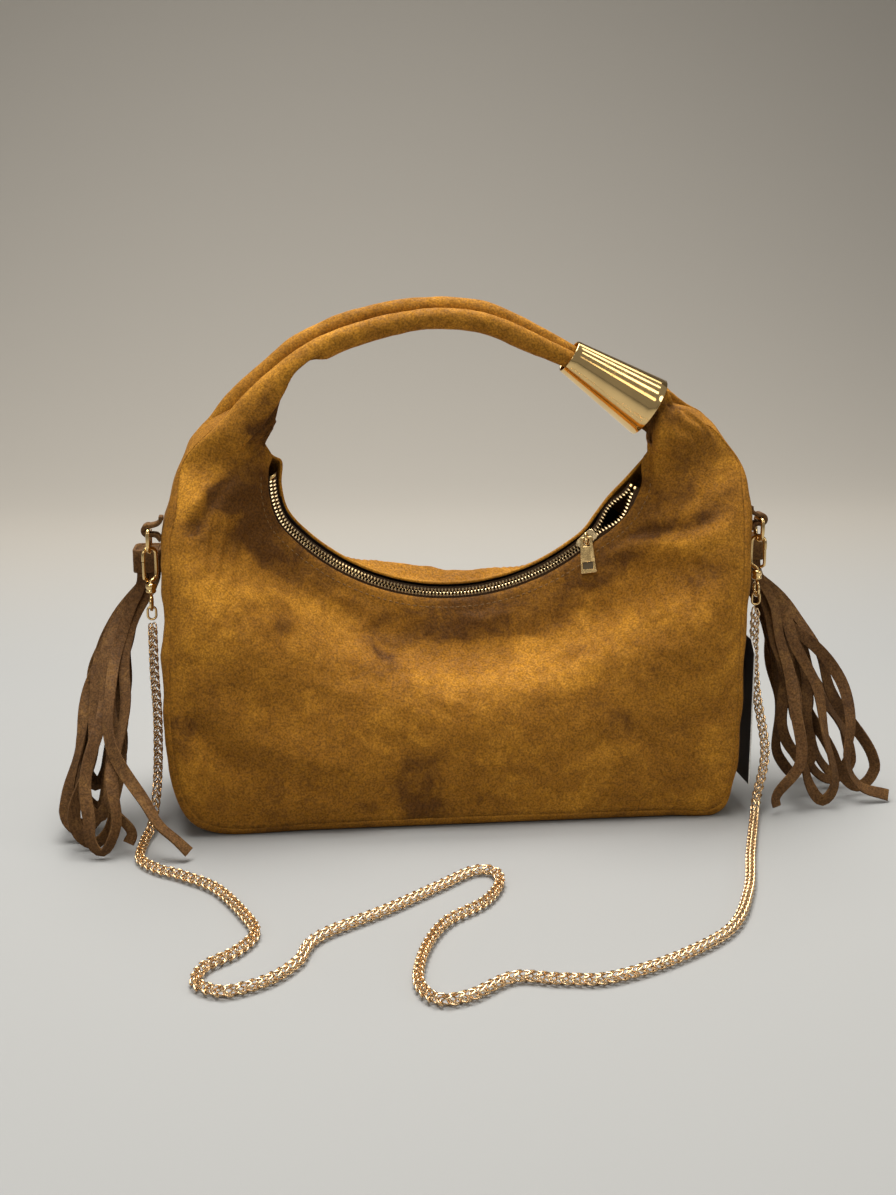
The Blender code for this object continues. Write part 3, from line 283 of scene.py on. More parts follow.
def napGroup():
    # Suede nap: soft blotches where the nap was brushed, its own fine grain, and its height
    group, start, end = newGroup("brushedNap", [
        ("Vector", "NodeSocketVector", None), ("Blotch Scale", "NodeSocketFloat", 12.0),
        ("Grain Scale", "NodeSocketFloat", 900.0), ("Pebble Scale", "NodeSocketFloat", 420.0)],
        [("Blotch", "NodeSocketFloat"), ("Grain", "NodeSocketFloat"),
         ("Pebble", "NodeSocketFloat"), ("Height", "NodeSocketFloat")])
    where = start.outputs["Vector"]
    wide = noiseOf(group, where, start.outputs["Blotch Scale"], 3.0, 0.55, 0.5)
    closeScale = worked(group, "MULTIPLY", start.outputs["Blotch Scale"], 6.5)
    close = noiseOf(group, where, closeScale, 3.0, 0.6, 0.8)
    blotch = worked(group, "ADD", worked(group, "MULTIPLY", wide, 0.50),
                    worked(group, "MULTIPLY", close, 0.50))
    grain = noiseOf(group, where, start.outputs["Grain Scale"], 2.0, 0.6)
    cells = addNode(group, "ShaderNodeTexVoronoi", {
        "Vector": where, "Scale": start.outputs["Pebble Scale"]}, feature="SMOOTH_F1")
    pebble = stretched(group, cells.outputs["Distance"], 0.15, 0.75)
    height = worked(group, "ADD", worked(group, "MULTIPLY", grain, 0.6),
                    worked(group, "MULTIPLY", pebble, -0.5))
    for label, value in (("Blotch", blotch), ("Grain", grain), ("Pebble", pebble),
                         ("Height", height)):
        group.links.new(value, end.inputs[label])
    return group


def scuffGroup():
    # Fine rubbing on polished metal: how much rougher each spot is, and its tiny height
    group, start, end = newGroup("fineRubbing", [
        ("Vector", "NodeSocketVector", None), ("Scale", "NodeSocketFloat", 300.0)],
        [("Rubbed", "NodeSocketFloat"), ("Height", "NodeSocketFloat")])
    fine = noiseOf(group, start.outputs["Vector"], start.outputs["Scale"], 4.0, 0.65, 0.4)
    wide = noiseOf(group, start.outputs["Vector"], 45.0, 2.0, 0.5)
    rubbed = worked(group, "MULTIPLY", stretched(group, fine, 0.35, 0.75),
                    stretched(group, wide, 0.3, 0.7))
    group.links.new(rubbed, end.inputs["Rubbed"])
    group.links.new(fine, end.inputs["Height"])
    return group


sharedNap = napGroup()
sharedRubbing = scuffGroup()

suedeFinish = {
    "dark": (0.105, 0.041, 0.0060, 1.0),
    "middle": (0.275, 0.115, 0.0105, 1.0),
    "light": (0.480, 0.215, 0.0200, 1.0),
    "sheen": (0.70, 0.40, 0.10, 1.0),
}
thongFinish = {
    "dark": (0.045, 0.020, 0.0075, 1.0),
    "middle": (0.112, 0.053, 0.0180, 1.0),
    "light": (0.215, 0.110, 0.0330, 1.0),
    "sheen": (0.45, 0.29, 0.15, 1.0),
}


def suedeMaterial(name, finish, blotchScale, shaded, sheenAmount):
    # Colour goes from dark to light with the blotches and with the painted shade and painted light stored on
    # the mesh
    made, tree, shader, place = newMaterial(name, finish["middle"][:3])
    nap = addNode(tree, "ShaderNodeGroup", {"Vector": place, "Blotch Scale": blotchScale},
                  node_tree=sharedNap)
    level = worked(tree, "ADD", worked(tree, "MULTIPLY", nap.outputs["Blotch"], 0.80), 0.10)
    if shaded:
        # The mesh's shade: painted shade and painted light on the panels, a random tone on the gusset
        shade = addNode(tree, "ShaderNodeAttribute", attribute_name="shade")
        level = worked(tree, "ADD", level, shade.outputs["Fac"])
    low = stretched(tree, level, 0.26, 0.50)
    high = stretched(tree, level, 0.47, 0.72)
    colour = mixedColour(tree, low, finish["dark"], finish["middle"])
    colour = mixedColour(tree, high, colour, finish["light"])
    grainLevel = stretched(tree, nap.outputs["Grain"], 0.25, 0.75, 0.58, 1.42)
    shadeGrey = addNode(tree, "ShaderNodeCombineColor", {
        0: grainLevel, 1: grainLevel, 2: grainLevel}).outputs[0]
    colour = mixedColour(tree, 1.0, colour, shadeGrey, "MULTIPLY")
    tree.links.new(colour, shader.inputs["Base Color"])
    rough = stretched(tree, nap.outputs["Pebble"], 0.0, 1.0, 0.72, 0.92)
    tree.links.new(rough, shader.inputs["Roughness"])
    shader.inputs["Specular IOR Level"].default_value = 0.18
    shader.inputs["Sheen Weight"].default_value = sheenAmount
    shader.inputs["Sheen Roughness"].default_value = 0.45
    shader.inputs["Sheen Tint"].default_value = finish["sheen"]
    bumpInto(tree, shader, nap.outputs["Height"], 0.45, 0.0004)
    return made


def metalMaterial(name, colour, roughLow, roughHigh, bump):
    # Polished metal: rougher where it is rubbed, and a shade darker in wide soft spots
    made, tree, shader, place = newMaterial(name, colour[:3])
    rubbing = addNode(tree, "ShaderNodeGroup", {"Vector": place}, node_tree=sharedRubbing)
    rough = stretched(tree, rubbing.outputs["Rubbed"], 0.0, 1.0, roughLow, roughHigh)
    tree.links.new(rough, shader.inputs["Roughness"])
    tarnish = stretched(tree, noiseOf(tree, place, 60.0, 3.0), 0.35, 0.8)
    darker = tuple(0.86 * c for c in colour[:3]) + (1.0,)
    tree.links.new(mixedColour(tree, tarnish, colour, darker), shader.inputs["Base Color"])
    shader.inputs["Metallic"].default_value = 1.0
    bumpInto(tree, shader, rubbing.outputs["Height"], bump, 0.00005)
    return made


def clothMaterial(name, dark, light, pitch):
    # A ribbed tape: ribs across its length and finer rows along it, from the piece's own map in metres
    made, tree, shader, place = newMaterial(name, light[:3])
    along = addNode(tree, "ShaderNodeUVMap", uv_map="along").outputs[0]
    parts = addNode(tree, "ShaderNodeSeparateXYZ", {0: along})
    ribs = worked(tree, "SINE", worked(tree, "MULTIPLY", parts.outputs[0], tau / pitch), 0.0)
    cross = worked(tree, "SINE", worked(tree, "MULTIPLY", parts.outputs[1], tau / (1.6 * pitch)), 0.0)
    weave = worked(tree, "MULTIPLY", worked(tree, "ADD", ribs, 1.6), worked(tree, "ADD", cross, 1.6))
    fuzz = noiseOf(tree, place, 1500.0, 2.0)
    level = worked(tree, "ADD", worked(tree, "MULTIPLY", weave, 0.12), worked(tree, "MULTIPLY", fuzz, 0.3))
    tree.links.new(mixedColour(tree, stretched(tree, level, 0.1, 0.9), dark, light),
                   shader.inputs["Base Color"])
    shader.inputs["Roughness"].default_value = 0.9
    shader.inputs["Sheen Weight"].default_value = 0.15
    bumpInto(tree, shader, level, 0.6, 0.0003)
    return made


threadLook = {"scale": 2200.0, "rough": 0.85, "bump": 0.5, "depth": 0.0002}
cardLook = {"scale": 700.0, "bump": 0.2, "depth": 0.0001}


def fibreMaterial(name, dark, light, scale, rough, bump, depth):
    # Thread, card and lining: fine fibres between a dark and a light colour, with their own height
    made, tree, shader, place = newMaterial(name, light[:3])
    fibre = noiseOf(tree, place, scale, 3.0, 0.6)
    tree.links.new(mixedColour(tree, stretched(tree, fibre, 0.3, 0.7), dark, light),
                   shader.inputs["Base Color"])
    shader.inputs["Roughness"].default_value = rough
    bumpInto(tree, shader, fibre, bump, depth)
    return made


tanSuede = suedeMaterial("tanSuede", suedeFinish, 12.0, True, 0.06)
brownSuede = suedeMaterial("brownSuede", thongFinish, 24.0, False, 0.08)
liningCloth = fibreMaterial("darkLining", (0.022, 0.010, 0.004, 1), (0.042, 0.020, 0.008, 1),
                            rough=0.9, **cardLook)
gold = metalMaterial("champagneGold", (0.90, 0.63, 0.28, 1.0), 0.10, 0.22, 0.10)
chainGold = metalMaterial("chainGold", (0.84, 0.60, 0.34, 1.0), 0.16, 0.32, 0.15)
zipGold = metalMaterial("zipGold", (0.74, 0.56, 0.31, 1.0), 0.16, 0.30, 0.2)
recessDark = metalMaterial("engravedRecess", (0.10, 0.075, 0.045, 1.0), 0.40, 0.60, 0.6)
zipTape = clothMaterial("zipTape", (0.050, 0.024, 0.008, 1), (0.150, 0.074, 0.022, 1), 0.0009)
seamThread = fibreMaterial("seamThread", (0.10, 0.048, 0.012, 1), (0.30, 0.165, 0.050, 1), **threadLook)
tagThread = fibreMaterial("tagThread", (0.50, 0.47, 0.42, 1), (0.80, 0.77, 0.70, 1), **threadLook)
tagBlack = fibreMaterial("tagBlack", (0.006, 0.006, 0.007, 1), (0.016, 0.016, 0.018, 1),
                         rough=0.5, **cardLook)
tagCore = fibreMaterial("tagCore", (0.55, 0.53, 0.50, 1), (0.80, 0.78, 0.74, 1), rough=0.8, **cardLook)
print("stage: materials")


# The zip's own directions

zipShape = {
    "x": -0.011, "z": 0.258, "radius": 0.130,
    "lean": math.radians(55), "left": math.radians(-60), "right": math.radians(58),
    "tightens": math.radians(-48), "curl": 0.010,
    "slider": math.radians(40), "sliderLength": 0.013, "mouthOpen": 0.0038,
    "rowGap": 0.0005, "rowWidth": 0.0020, "rowTop": -0.0002, "rowDeep": 0.0027,
    "lipAt": {-1: 0.0048, 1: 0.0064}, "lipTop": 0.0006, "stopGap": 0.0003, "stopLength": 0.0022,
}
bagBack = np.array([0.0, 1.0, 0.0])


def zipOut(angle):
    angle = np.asarray(angle, float)
    return np.stack([np.sin(angle), 0 * angle, -np.cos(angle)], axis=-1)


def zipAlong(angle):
    angle = np.asarray(angle, float)
    return np.stack([np.cos(angle), 0 * angle, np.sin(angle)], axis=-1)


def zipAcross(angle):
    return math.cos(zipShape["lean"]) * bagBack - math.sin(zipShape["lean"]) * zipOut(angle)


def zipFace(angle):
    return -math.sin(zipShape["lean"]) * bagBack - math.cos(zipShape["lean"]) * zipOut(angle)


def zipPoint(angle, across, out):
    # A point on the zip's arc, whose radius shrinks past the slider's travel at the left
    angle = np.asarray(angle, float)
    past = np.clip((zipShape["tightens"] - angle) / (zipShape["tightens"] - zipShape["left"]), 0.0, 1.3)
    radius = zipShape["radius"] - zipShape["curl"] * past**1.5
    centre = np.array([zipShape["x"], 0.0, zipShape["z"]]) + radius[..., None] * zipOut(angle)
    across = np.asarray(across, float)[..., None]
    out = np.asarray(out, float)[..., None]
    return centre + across * zipAcross(angle) + out * zipFace(angle)


def mouthBow(angle):
    # Beyond the slider each row bows out by a squared sine, none at the slider and the end
    angle = np.asarray(angle, float)
    start = zipShape["slider"] + 0.5 * zipShape["sliderLength"] / zipShape["radius"]
    share = np.clip((angle - start) / (zipShape["right"] - start), 0.0, 1.0)
    return zipShape["mouthOpen"] * np.sin(math.pi * share)**2


# Cords: chain, thongs, tag string

ringAxis = {-1: -0.1866, 1: 0.17415}
ringY, ringHeight = -0.016, 0.172
sideWords = {-1: "left", 1: "right"}
faceWords = {-1: "front", 1: "back"}

chainShape = {
    "diameter": 0.006, "floor": 0.0032, "top": 0.1183, "firstLink": 0.0012, "lastLink": 0.0040,
    "pitch": 0.00268, "wire": 0.00047, "reach": 0.00250, "forward": 0.0047, "half": 0.00150,
    "swell": 0.0006, "liesBelow": 0.010,
}


def chainRoute():
    left, right = ringAxis[-1], ringAxis[1]
    floor, top = chainShape["floor"], chainShape["top"]
    table = [
        (-0.182, -0.108), (-0.167, -0.120), (-0.148, -0.140), (-0.132, -0.176), (-0.128, -0.195),
        (-0.136, -0.213), (-0.150, -0.228), (-0.153, -0.243), (-0.141, -0.253), (-0.122, -0.245),
        (-0.108, -0.228), (-0.097, -0.202), (-0.062, -0.174), (-0.033, -0.148), (-0.014, -0.131),
        (-0.003, -0.132), (-0.001, -0.147), (-0.012, -0.170), (-0.034, -0.192), (-0.047, -0.220),
        (-0.053, -0.252), (-0.047, -0.270), (-0.032, -0.269), (-0.010, -0.254), (0.012, -0.258),
        (0.034, -0.259), (0.070, -0.242), (0.104, -0.214), (0.126, -0.172), (0.143, -0.122),
        (0.158, -0.080)]
    start = [(left, ringY, top), (left, ringY - 0.001, top - 0.030),
             (left + 0.001, ringY - 0.004, 0.060), (left, ringY - 0.010, 0.026),
             (left - 0.002, ringY - 0.030, 0.007), (left - 0.005, ringY - 0.052, floor),
             (left - 0.005, ringY - 0.076, floor)]
    end = [(0.167, -0.056, 0.010), (right + 0.002, ringY - 0.024, 0.034),
           (right + 0.001, ringY - 0.006, 0.066), (right, ringY - 0.001, top - 0.030),
           (right, ringY, top)]
    fine = catmullRom(start + [(x, y, floor) for x, y in table] + end, 24)
    fine[:, 2] = np.maximum(fine[:, 2], floor)
    return fine


def carriedFrames(path):
    # Directions carried along a path without twist: each is the last one made square again
    ahead = unit(np.gradient(path, axis=0))
    side = np.empty_like(path)
    side[0] = unit(np.cross(ahead[0], (0.0, 1.0, 0.2)))
    for k in range(1, len(path)):
        side[k] = unit(side[k - 1] - ahead[k] * np.dot(side[k - 1], ahead[k]))
    return ahead, side, np.cross(ahead, side)


def linkShape():
    # An oval of wire bent to a saddle: both rounded ends sweep forward on opposite sides
    around, sides = 16, 6
    turn = np.arange(around) * tau / around
    along = np.cos(turn) * math.pi / 2
    line = np.stack([chainShape["reach"] * np.sin(along), chainShape["half"] * np.sin(turn),
                     chainShape["forward"] * (1 - np.cos(along))], axis=1)
    outward = np.stack([-chainShape["forward"] * np.sin(along), 0 * along,
                        chainShape["reach"] * np.cos(along) + chainShape["swell"]], axis=1)
    points = tubeGrid(line, chainShape["wire"], sides, unit(outward), closed=True)
    return points.reshape(-1, 3), gridFaces(around, sides, wrapColumns=True, wrapRows=True)


def makeChain():
    # Links at every pitch along the route, each a quarter turn from the last, in three pieces
    route = chainRoute()
    run = lengthAlong(route)
    first, last = chainShape["firstLink"], chainShape["lastLink"]
    where = np.arange(first, run[-1] - last, chainShape["pitch"])
    path = atLengths(route, where)
    ahead, side, up = carriedFrames(path)
    quarter = np.arange(len(path)) % 2
    turn = math.radians(45) + quarter * math.pi / 2
    wide = np.cos(turn)[:, None] * side + np.sin(turn)[:, None] * up
    frames = np.stack([wide, np.cross(ahead, wide), ahead], axis=1)
    shape, faces = linkShape()
    low = np.flatnonzero(path[:, 2] < chainShape["liesBelow"])
    cuts = [0, low[0], low[-1] + 1, len(path)]
    for k, name in enumerate(("chainHangLeft", "chainOnTable", "chainHangRight")):
        part = slice(cuts[k], cuts[k + 1])
        points, quads = copiesOf(shape, faces, path[part], frames[part])
        piece = putMesh(name, points, quads, [chainGold])
        near, far = where[cuts[k]] - first, where[cuts[k + 1] - 1] + last
        line = atLengths(route, np.linspace(near, min(far, run[-1]), 40 if k != 1 else 240))
        if k == 0:
            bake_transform(piece)
        elif k == 2:
            line = line[::-1]
            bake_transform(piece)
        else:
            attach(piece, "bag")
            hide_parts("chain_strap")
    print("stage: chain,", len(path), "links, strap length", round(float(run[-1]), 3))


fringeShape = {
    "width": 0.0060, "thick": 0.0012, "pitch": 0.0021, "strandGap": 0.0006, "count": 10,
    "clearOfChain": 0.012, "bandY": 0.014, "bandZ": 0.150, "bandHeight": 0.014,
    "bandWidth": 0.0245, "bandWall": 0.0018, "bandDepth": 0.0168,
    "bandX": {-1: -0.189972, 1: 0.176541}, "fanPitch": 0.0072, "footY": {-1: -0.060, 1: -0.026},
    "stations": 130, "freeWidth": 0.0073, "sway": 0.0034, "sideSway": 0.0016,
    "twist": 12.0, "footTwist": 34.0,      # degrees
    # reach, height of the foot, width of the loop, lean; a width of 0 is a cut tip
    "loops": {
        -1: ((-0.028, 0.005, 0.000, 0.2), (0.020, 0.004, 0.014, 0.3), (0.006, 0.006, 0.000, 0.4),
             (0.026, 0.004, 0.020, 0.1), (0.024, 0.016, 0.014, 0.5), (0.034, 0.006, 0.020, 0.0),
             (0.025, 0.030, 0.012, 0.4), (0.034, 0.004, 0.022, 0.1), (0.028, 0.012, 0.016, 0.3),
             (0.030, 0.022, 0.014, 0.2)),
        1: ((-0.001, 0.005, 0.000, 0.1), (0.030, 0.005, 0.016, 0.2), (0.074, 0.004, 0.000, 0.0),
            (0.024, 0.022, 0.014, 0.4), (0.060, 0.005, 0.022, 0.1), (0.022, 0.012, 0.014, 0.5),
            (0.048, 0.005, 0.026, 0.2), (0.030, 0.040, 0.012, 0.6), (0.056, 0.004, 0.020, 0.1),
            (0.036, 0.014, 0.018, 0.3)),
    },
}
# A thong's section, as shares of its half width and half thickness
thongCorners = np.array([(-1, -0.78), (-0.96, -1), (0, -1), (0.96, -1), (1, -0.78), (1, 0.78),
                         (0.96, 1), (0, 1), (-0.96, 1), (-1, 0.78)])


def sliceY(side, index, height):
    # Each thong keeps to its own slice, and the slices fan out from the band to the foot
    place = index - 0.5 * (fringeShape["count"] - 1)
    top = fringeShape["bandZ"] - 0.5 * fringeShape["bandHeight"]
    down = smoothStep(-np.asarray(height), -top, 0.0)
    near = fringeShape["bandY"] + place * fringeShape["pitch"]
    return near + (fringeShape["footY"][side] + place * fringeShape["fanPitch"] - near) * down


def thongRoute(side, index):
    # Down the outer column, round the loop at the foot and back up the inner column
    shape = fringeShape
    reach, low, wide, lean = shape["loops"][side][index]
    column = 0.5 * (shape["width"] + shape["strandGap"])
    top = shape["bandZ"] + 0.5 * shape["bandHeight"] - 0.001
    neck = shape["bandZ"] - 0.5 * shape["bandHeight"] - 0.003
    high = neck - 0.030
    middle = 0.5 * (high + low) + 0.010
    out = column + shape["clearOfChain"]
    start = [(column, top), (column, shape["bandZ"]), (column, neck), (column + 0.002, neck - 0.007)]
    if wide == 0.0:
        path = start + [(out, high), (out + 0.5 * max(reach, 0.0) + 0.004, middle),
                        (out + 0.5 * reach, low + 0.024), (column + 0.75 * reach, low + 0.007),
                        (column + reach, low)]
    else:
        path = start + [
            (out + 0.22 * reach, high), (out + 0.56 * reach + 0.006 * lean, middle),
            (column + 0.96 * reach + wide * 0.5, low + 0.020),
            (column + reach + wide * 0.42, low + 0.007), (column + reach, low),
            (column + reach - wide * 0.42, low + 0.007),
            (column + 0.90 * reach - wide * 0.5, low + 0.022),
            (out - 2 * column + 0.4 * reach - 0.001, middle - 0.004),
            (out - 2 * column + 0.12 * reach, high), (-column + 0.002, neck - 0.007),
            (-column, neck), (-column, shape["bandZ"]), (-column, top)]
    flat = [(shape["bandX"][side] + side * x, z) for x, z in path]
    fine = evenly(catmullRom(flat, 12), shape["stations"])
    x, z = fine[:, 0], fine[:, 1]
    pick = np.random.default_rng(300 + 20 * side + index)
    loose = smoothStep(-z, -neck + 0.012, -neck + 0.055) * smoothStep(z, 0.010, 0.030)
    phase = pick.uniform(0.0, tau, 3)
    # The whole loop sways with height, so that its two legs stay side by side
    swing = 0.6 * np.sin(z / 0.0155 + phase[0]) + 0.4 * np.sin(z / 0.0082 + phase[1])
    x = x + loose * shape["sway"] * swing
    y = sliceY(side, index, z) + loose * shape["sideSway"] * np.sin(z / 0.0120 + phase[2])
    return np.stack([x, y, z], axis=1)


def makeThong(side, index):
    # A flat strip with rounded edges, its broad face to the front and a slight twist
    shape = fringeShape
    word = sideWords[side]
    looped = shape["loops"][side][index][2] > 0
    points = thongRoute(side, index)
    ahead = unit(np.gradient(points, axis=0))
    step = 0.0005
    lean = (sliceY(side, index, points[:, 2] + step) - sliceY(side, index, points[:, 2] - step)) / (2 * step)
    thick = unit(np.stack([0 * lean, 1 + 0 * lean, -lean], axis=1))
    broad = unit(np.cross(ahead, thick))
    thick = unit(np.cross(broad, ahead))
    run = lengthAlong(points)
    free = smoothStep(run, 0.020, 0.050)
    if looped:
        free = free * (1 - smoothStep(run, run[-1] - 0.050, run[-1] - 0.020))
    pick = np.random.default_rng(100 + 20 * side + index)
    fan = smoothStep(-points[:, 2], -shape["bandZ"] + 0.02, -0.03)
    most = free * np.radians(shape["twist"] + shape["footTwist"] * fan)
    twist = most * np.sin(run / pick.uniform(0.016, 0.028) + pick.uniform(0, tau))
    turned = np.cos(twist)[:, None] * broad + np.sin(twist)[:, None] * thick
    normal = np.cos(twist)[:, None] * thick - np.sin(twist)[:, None] * broad
    wide = (shape["width"] + free * (shape["freeWidth"] - shape["width"])) \
        * (0.47 + 0.03 * np.sin(run / 0.017 + pick.uniform(0, tau)))
    corner = thongCorners[None]
    rings = (points[:, None] + corner[..., :1] * wide[:, None, None] * turned[:, None]
             + corner[..., 1:] * (0.5 * shape["thick"]) * normal[:, None])
    piece = putMesh(f"thong{word.capitalize()}{index + 1:02d}", rings,
                    cappedFaces(len(rings), len(thongCorners)), [brownSuede])
    piece.data.set_sharp_from_angle(angle=math.radians(40))
    dress(piece, "bag", "brown_suede", f"thong_{word}_{index + 1:02d}")


tagShape = {
    "string": 0.0012, "ply": 0.00052, "plyDepth": 0.16, "plyPitch": 0.0022,
    "holeHeight": 0.104, "clear": 0.0003, "cut": 0.007,
}


def makeTagString():
    # Two twisted plies from the right band's front down to the hole of the tag
    shape = tagShape
    x, depth = fringeShape["bandX"][1], fringeShape["bandDepth"]
    tagLow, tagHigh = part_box("swing_tag")
    middle = 0.5 * (np.array(tagLow) + np.array(tagHigh))
    front = fringeShape["bandY"] - 0.5 * fringeShape["bandWidth"] - 0.5 * shape["string"] - shape["clear"]
    top = fringeShape["bandZ"] - 0.25 * fringeShape["bandHeight"]
    foot = shape["holeHeight"] + 0.5 * shape["string"] + shape["clear"]
    route = [(x - 0.40 * depth, front, top), (x - 0.41 * depth, front - 0.003, top - 0.014),
             (middle[0] + 0.0010, middle[1] + 0.014, foot + 0.012), (middle[0], middle[1], foot)]
    line = evenly(catmullRom(route, 12), 60)
    sides = 10
    run = lengthAlong(line)
    rings = tubeGrid(line, shape["ply"], sides, (1.0, 0.0, 0.0))
    turn = np.arange(sides)[None, :] * tau / sides
    ply = 1.0 + shape["plyDepth"] * np.cos(2 * turn + run[:, None] * tau / shape["plyPitch"])
    rings = line[:, None] + (rings - line[:, None]) * ply[:, :, None]
    piece = putMesh("tagString", rings, cappedFaces(len(rings), sides), [tagThread])
    dress(piece, "bag", "white_thread", "tag_string")


makeChain()
for side in (-1, 1):
    for index in range(fringeShape["count"]):
        makeThong(side, index)
makeTagString()
print("stage: cords")


# The suede body

coneShape = {
    "x": 0.060, "z": 0.268, "slope": math.radians(32), "length": 0.057,
    "small": 0.0102, "large": 0.0185, "wall": 0.0007, "around": 120,
    "bead": 0.00055, "beadRise": 0.00016, "beadIn": 0.0006,
    "seamTurn": math.radians(-84), "seamWide": 0.02, "seamDeep": 0.00012,
}

bagShape = {
    "suede": 0.0016, "seamGap": 0.0003, "cornerRound": 0.006, "cornerEnd": 0.0015,
    "sideSwell": 0.002, "belly": 0.005, "backFall": 0.32, "perRung": 10, "columns": 78,
    "rollWrap": 155.0, "rollClose": 40.0, "closedBelow": 0.72, "openAbove": 0.80,
    # cross-sections in millimetres: from the inside of the loop to the outline
    # cone: depth, fill, plump, share; roll: inner x z, outer x z, plump, share, outer wrap
    "handle": [
        ("cone", 25.7, 0.60, 0.33, 0.72), ("cone", 10, 0.68, 0.38, 0.70),
        ("cone", 0, 0.74, 0.41, 0.70), ("roll", 34, 271, 43, 285.5, 5.0, 0.68),
        ("roll", 6, 282, 9, 300, 5.8, 0.66), ("roll", -25, 284, -28, 302, 5.8, 0.66),
        ("roll", -53, 278, -63, 296, 5.8, 0.66), ("roll", -78, 270, -95, 284, 6.4, 0.66),
        ("roll", -98, 256, -122, 264, 7.5, 0.72), ("roll", -106, 241, -144, 243, 8.5, 0.78),
        ("roll", -111, 226, -158.5, 226.5, 9.0, 0.84, 100)],
    # body: inner x z, outer x z, depth; zip: degrees, outer x z, depth
    "body": [
        ("body", -115.5, 213, -168.5, 207, 16), ("zip", -63, -176, 180, 44),
        ("zip", -57, -179.5, 162, 59.8), ("zip", -50, -179, 140, 76.4),
        ("zip", -41, -180, 95, 98), ("zip", -33, -179, 50, 112.4), ("zip", -27, -171, 14, 116),
        ("zip", -21, -150, 0, 116), ("zip", -13, -99, 0, 116), ("zip", -4, -45, 0, 116),
        ("zip", 6, 10.01, 0, 116), ("zip", 15, 64.35, 0, 116), ("zip", 23, 114.4, 0, 116),
        ("zip", 29, 143, 0, 116), ("zip", 35, 153, 17, 116), ("zip", 41, 157, 60, 112.4),
        ("zip", 47, 160, 105, 98), ("zip", 53, 165, 148, 76.4), ("zip", 60, 168, 184, 44),
        ("body", 105.5, 207, 162, 208, 16)],
    "horn": [
        ("roll", 104, 216.5, 144, 232, 8.0, 0.86, 100), ("cone", 57, 0.84, 0.40, 0.88),
        ("cone", 40, 0.80, 0.38, 0.88), ("cone", 26, 0.76, 0.37, 0.88)],
}
bagRungs = bagShape["handle"] + bagShape["body"] + bagShape["horn"]


def coneAxis():
    return np.array([math.cos(coneShape["slope"]), 0.0, -math.sin(coneShape["slope"])])


def coneUpper():
    return np.array([math.sin(coneShape["slope"]), 0.0, math.cos(coneShape["slope"])])


def conePoint(depth, across):
    return np.array([coneShape["x"], 0.0, coneShape["z"]]) + depth * coneAxis() + across * coneUpper()


def coneInside(depth):
    share = depth / coneShape["length"]
    return coneShape["small"] + (coneShape["large"] - coneShape["small"]) * share - coneShape["wall"]


def rungEnds(rung):
    # Inner end, outer end and what else the section needs, in metres
    kind, numbers = rung[0], rung[1:]
    if kind == "cone":
        depth, fill, plump, share = numbers
        reach = coneInside(depth * mm) * fill
        return kind, conePoint(depth * mm, -reach), conePoint(depth * mm, reach), \
            coneInside(depth * mm) * plump, share
    if kind == "roll":
        inX, inZ, outX, outZ, plump, share = numbers[:6]
        return kind, np.array([inX, 0, inZ]) * mm, np.array([outX, 0, outZ]) * mm, plump * mm, share
    if kind == "body":
        inX, inZ, outX, outZ, depth = numbers
        return kind, np.array([inX, 0, inZ]) * mm, np.array([outX, 0, outZ]) * mm, 0.5 * depth * mm, 0
    degrees, outX, outZ, depth = numbers
    angle = math.radians(degrees)
    inner = zipPoint(angle, 0.0, 0.0) * np.array([1.0, 0.0, 1.0])
    return kind, inner, np.array([outX, 0, outZ]) * mm, 0.5 * depth * mm, angle


def rollTurns(rung, share, side, count):
    # Angles round a roll: where both rolls show, the edge hidden behind the other turns in further
    span = bagShape["openAbove"] - bagShape["closedBelow"]
    closed = np.clip((bagShape["openAbove"] - share) / span, 0, 1)
    hidden = bagShape["rollWrap"] + bagShape["rollClose"] * closed
    shown = bagShape["rollWrap"] - 0.4 * bagShape["rollClose"] * closed
    low, high = (hidden, shown) if side < 0 else (shown, hidden)
    if len(rung) > 7:
        high = rung[7]
    return np.radians(np.linspace(-low, high, count))[:, None]


def cornerOf(rung):
    if rung[0] in ("roll", "cone"):
        return 0.0008
    return bagShape["cornerEnd"] if rung[0] == "body" else bagShape["cornerRound"]


def rungProfile(rung, side, count):
    # Rolls are open ellipses; body sections are cubic arcs from the mouth to the outline
    kind, inner, outer, amount, extra = rungEnds(rung)
    across = outer - inner
    reach = np.linalg.norm(across)
    out = across / reach
    deep = np.array([0.0, side, 0.0])
    if kind in ("roll", "cone"):
        half = 0.5 * extra * reach
        middle = inner + out * (half if side < 0 else reach - half)
        middle = middle + deep * (amount + 0.5 * bagShape["seamGap"] + 0.0001)
        turn = rollTurns(rung, extra, side, count)
        return middle + half * np.sin(turn) * out + amount * np.cos(turn) * deep
    end = inner + out * (reach - cornerOf(rung) - bagShape["seamGap"]) + deep * amount
    if kind == "zip":
        start = zipPoint(extra, side * (zipShape["lipAt"][side] + mouthBow(extra)), zipShape["lipTop"])
        leave = -zipAcross(extra)
    else:
        start = inner + deep * 0.0012
        leave = deep * 0.8 + out * 0.6
    if side > 0:
        leave = unit(deep + bagShape["backFall"] * (zipOut(extra) if kind == "zip" else out))
    chord = np.linalg.norm(end - start)
    first = (0.42 if side < 0 else 0.38) * chord
    swell = bagShape["belly"] + 0.04 * chord
    last = end - 0.42 * chord * out + swell * deep
    t = np.linspace(0.0, 1.0, count)[:, None]**1.35
    return ((1 - t)**3 * start + 3 * (1 - t)**2 * t * (start + first * leave)
            + 3 * (1 - t) * t**2 * last + t**3 * end)


def panelGrid(side):
    rows = np.array([rungProfile(rung, side, bagShape["columns"]) for rung in bagRungs])
    flat = rows.reshape(len(rows), -1)
    return catmullRom(flat, bagShape["perRung"]).reshape(-1, rows.shape[1], 3)


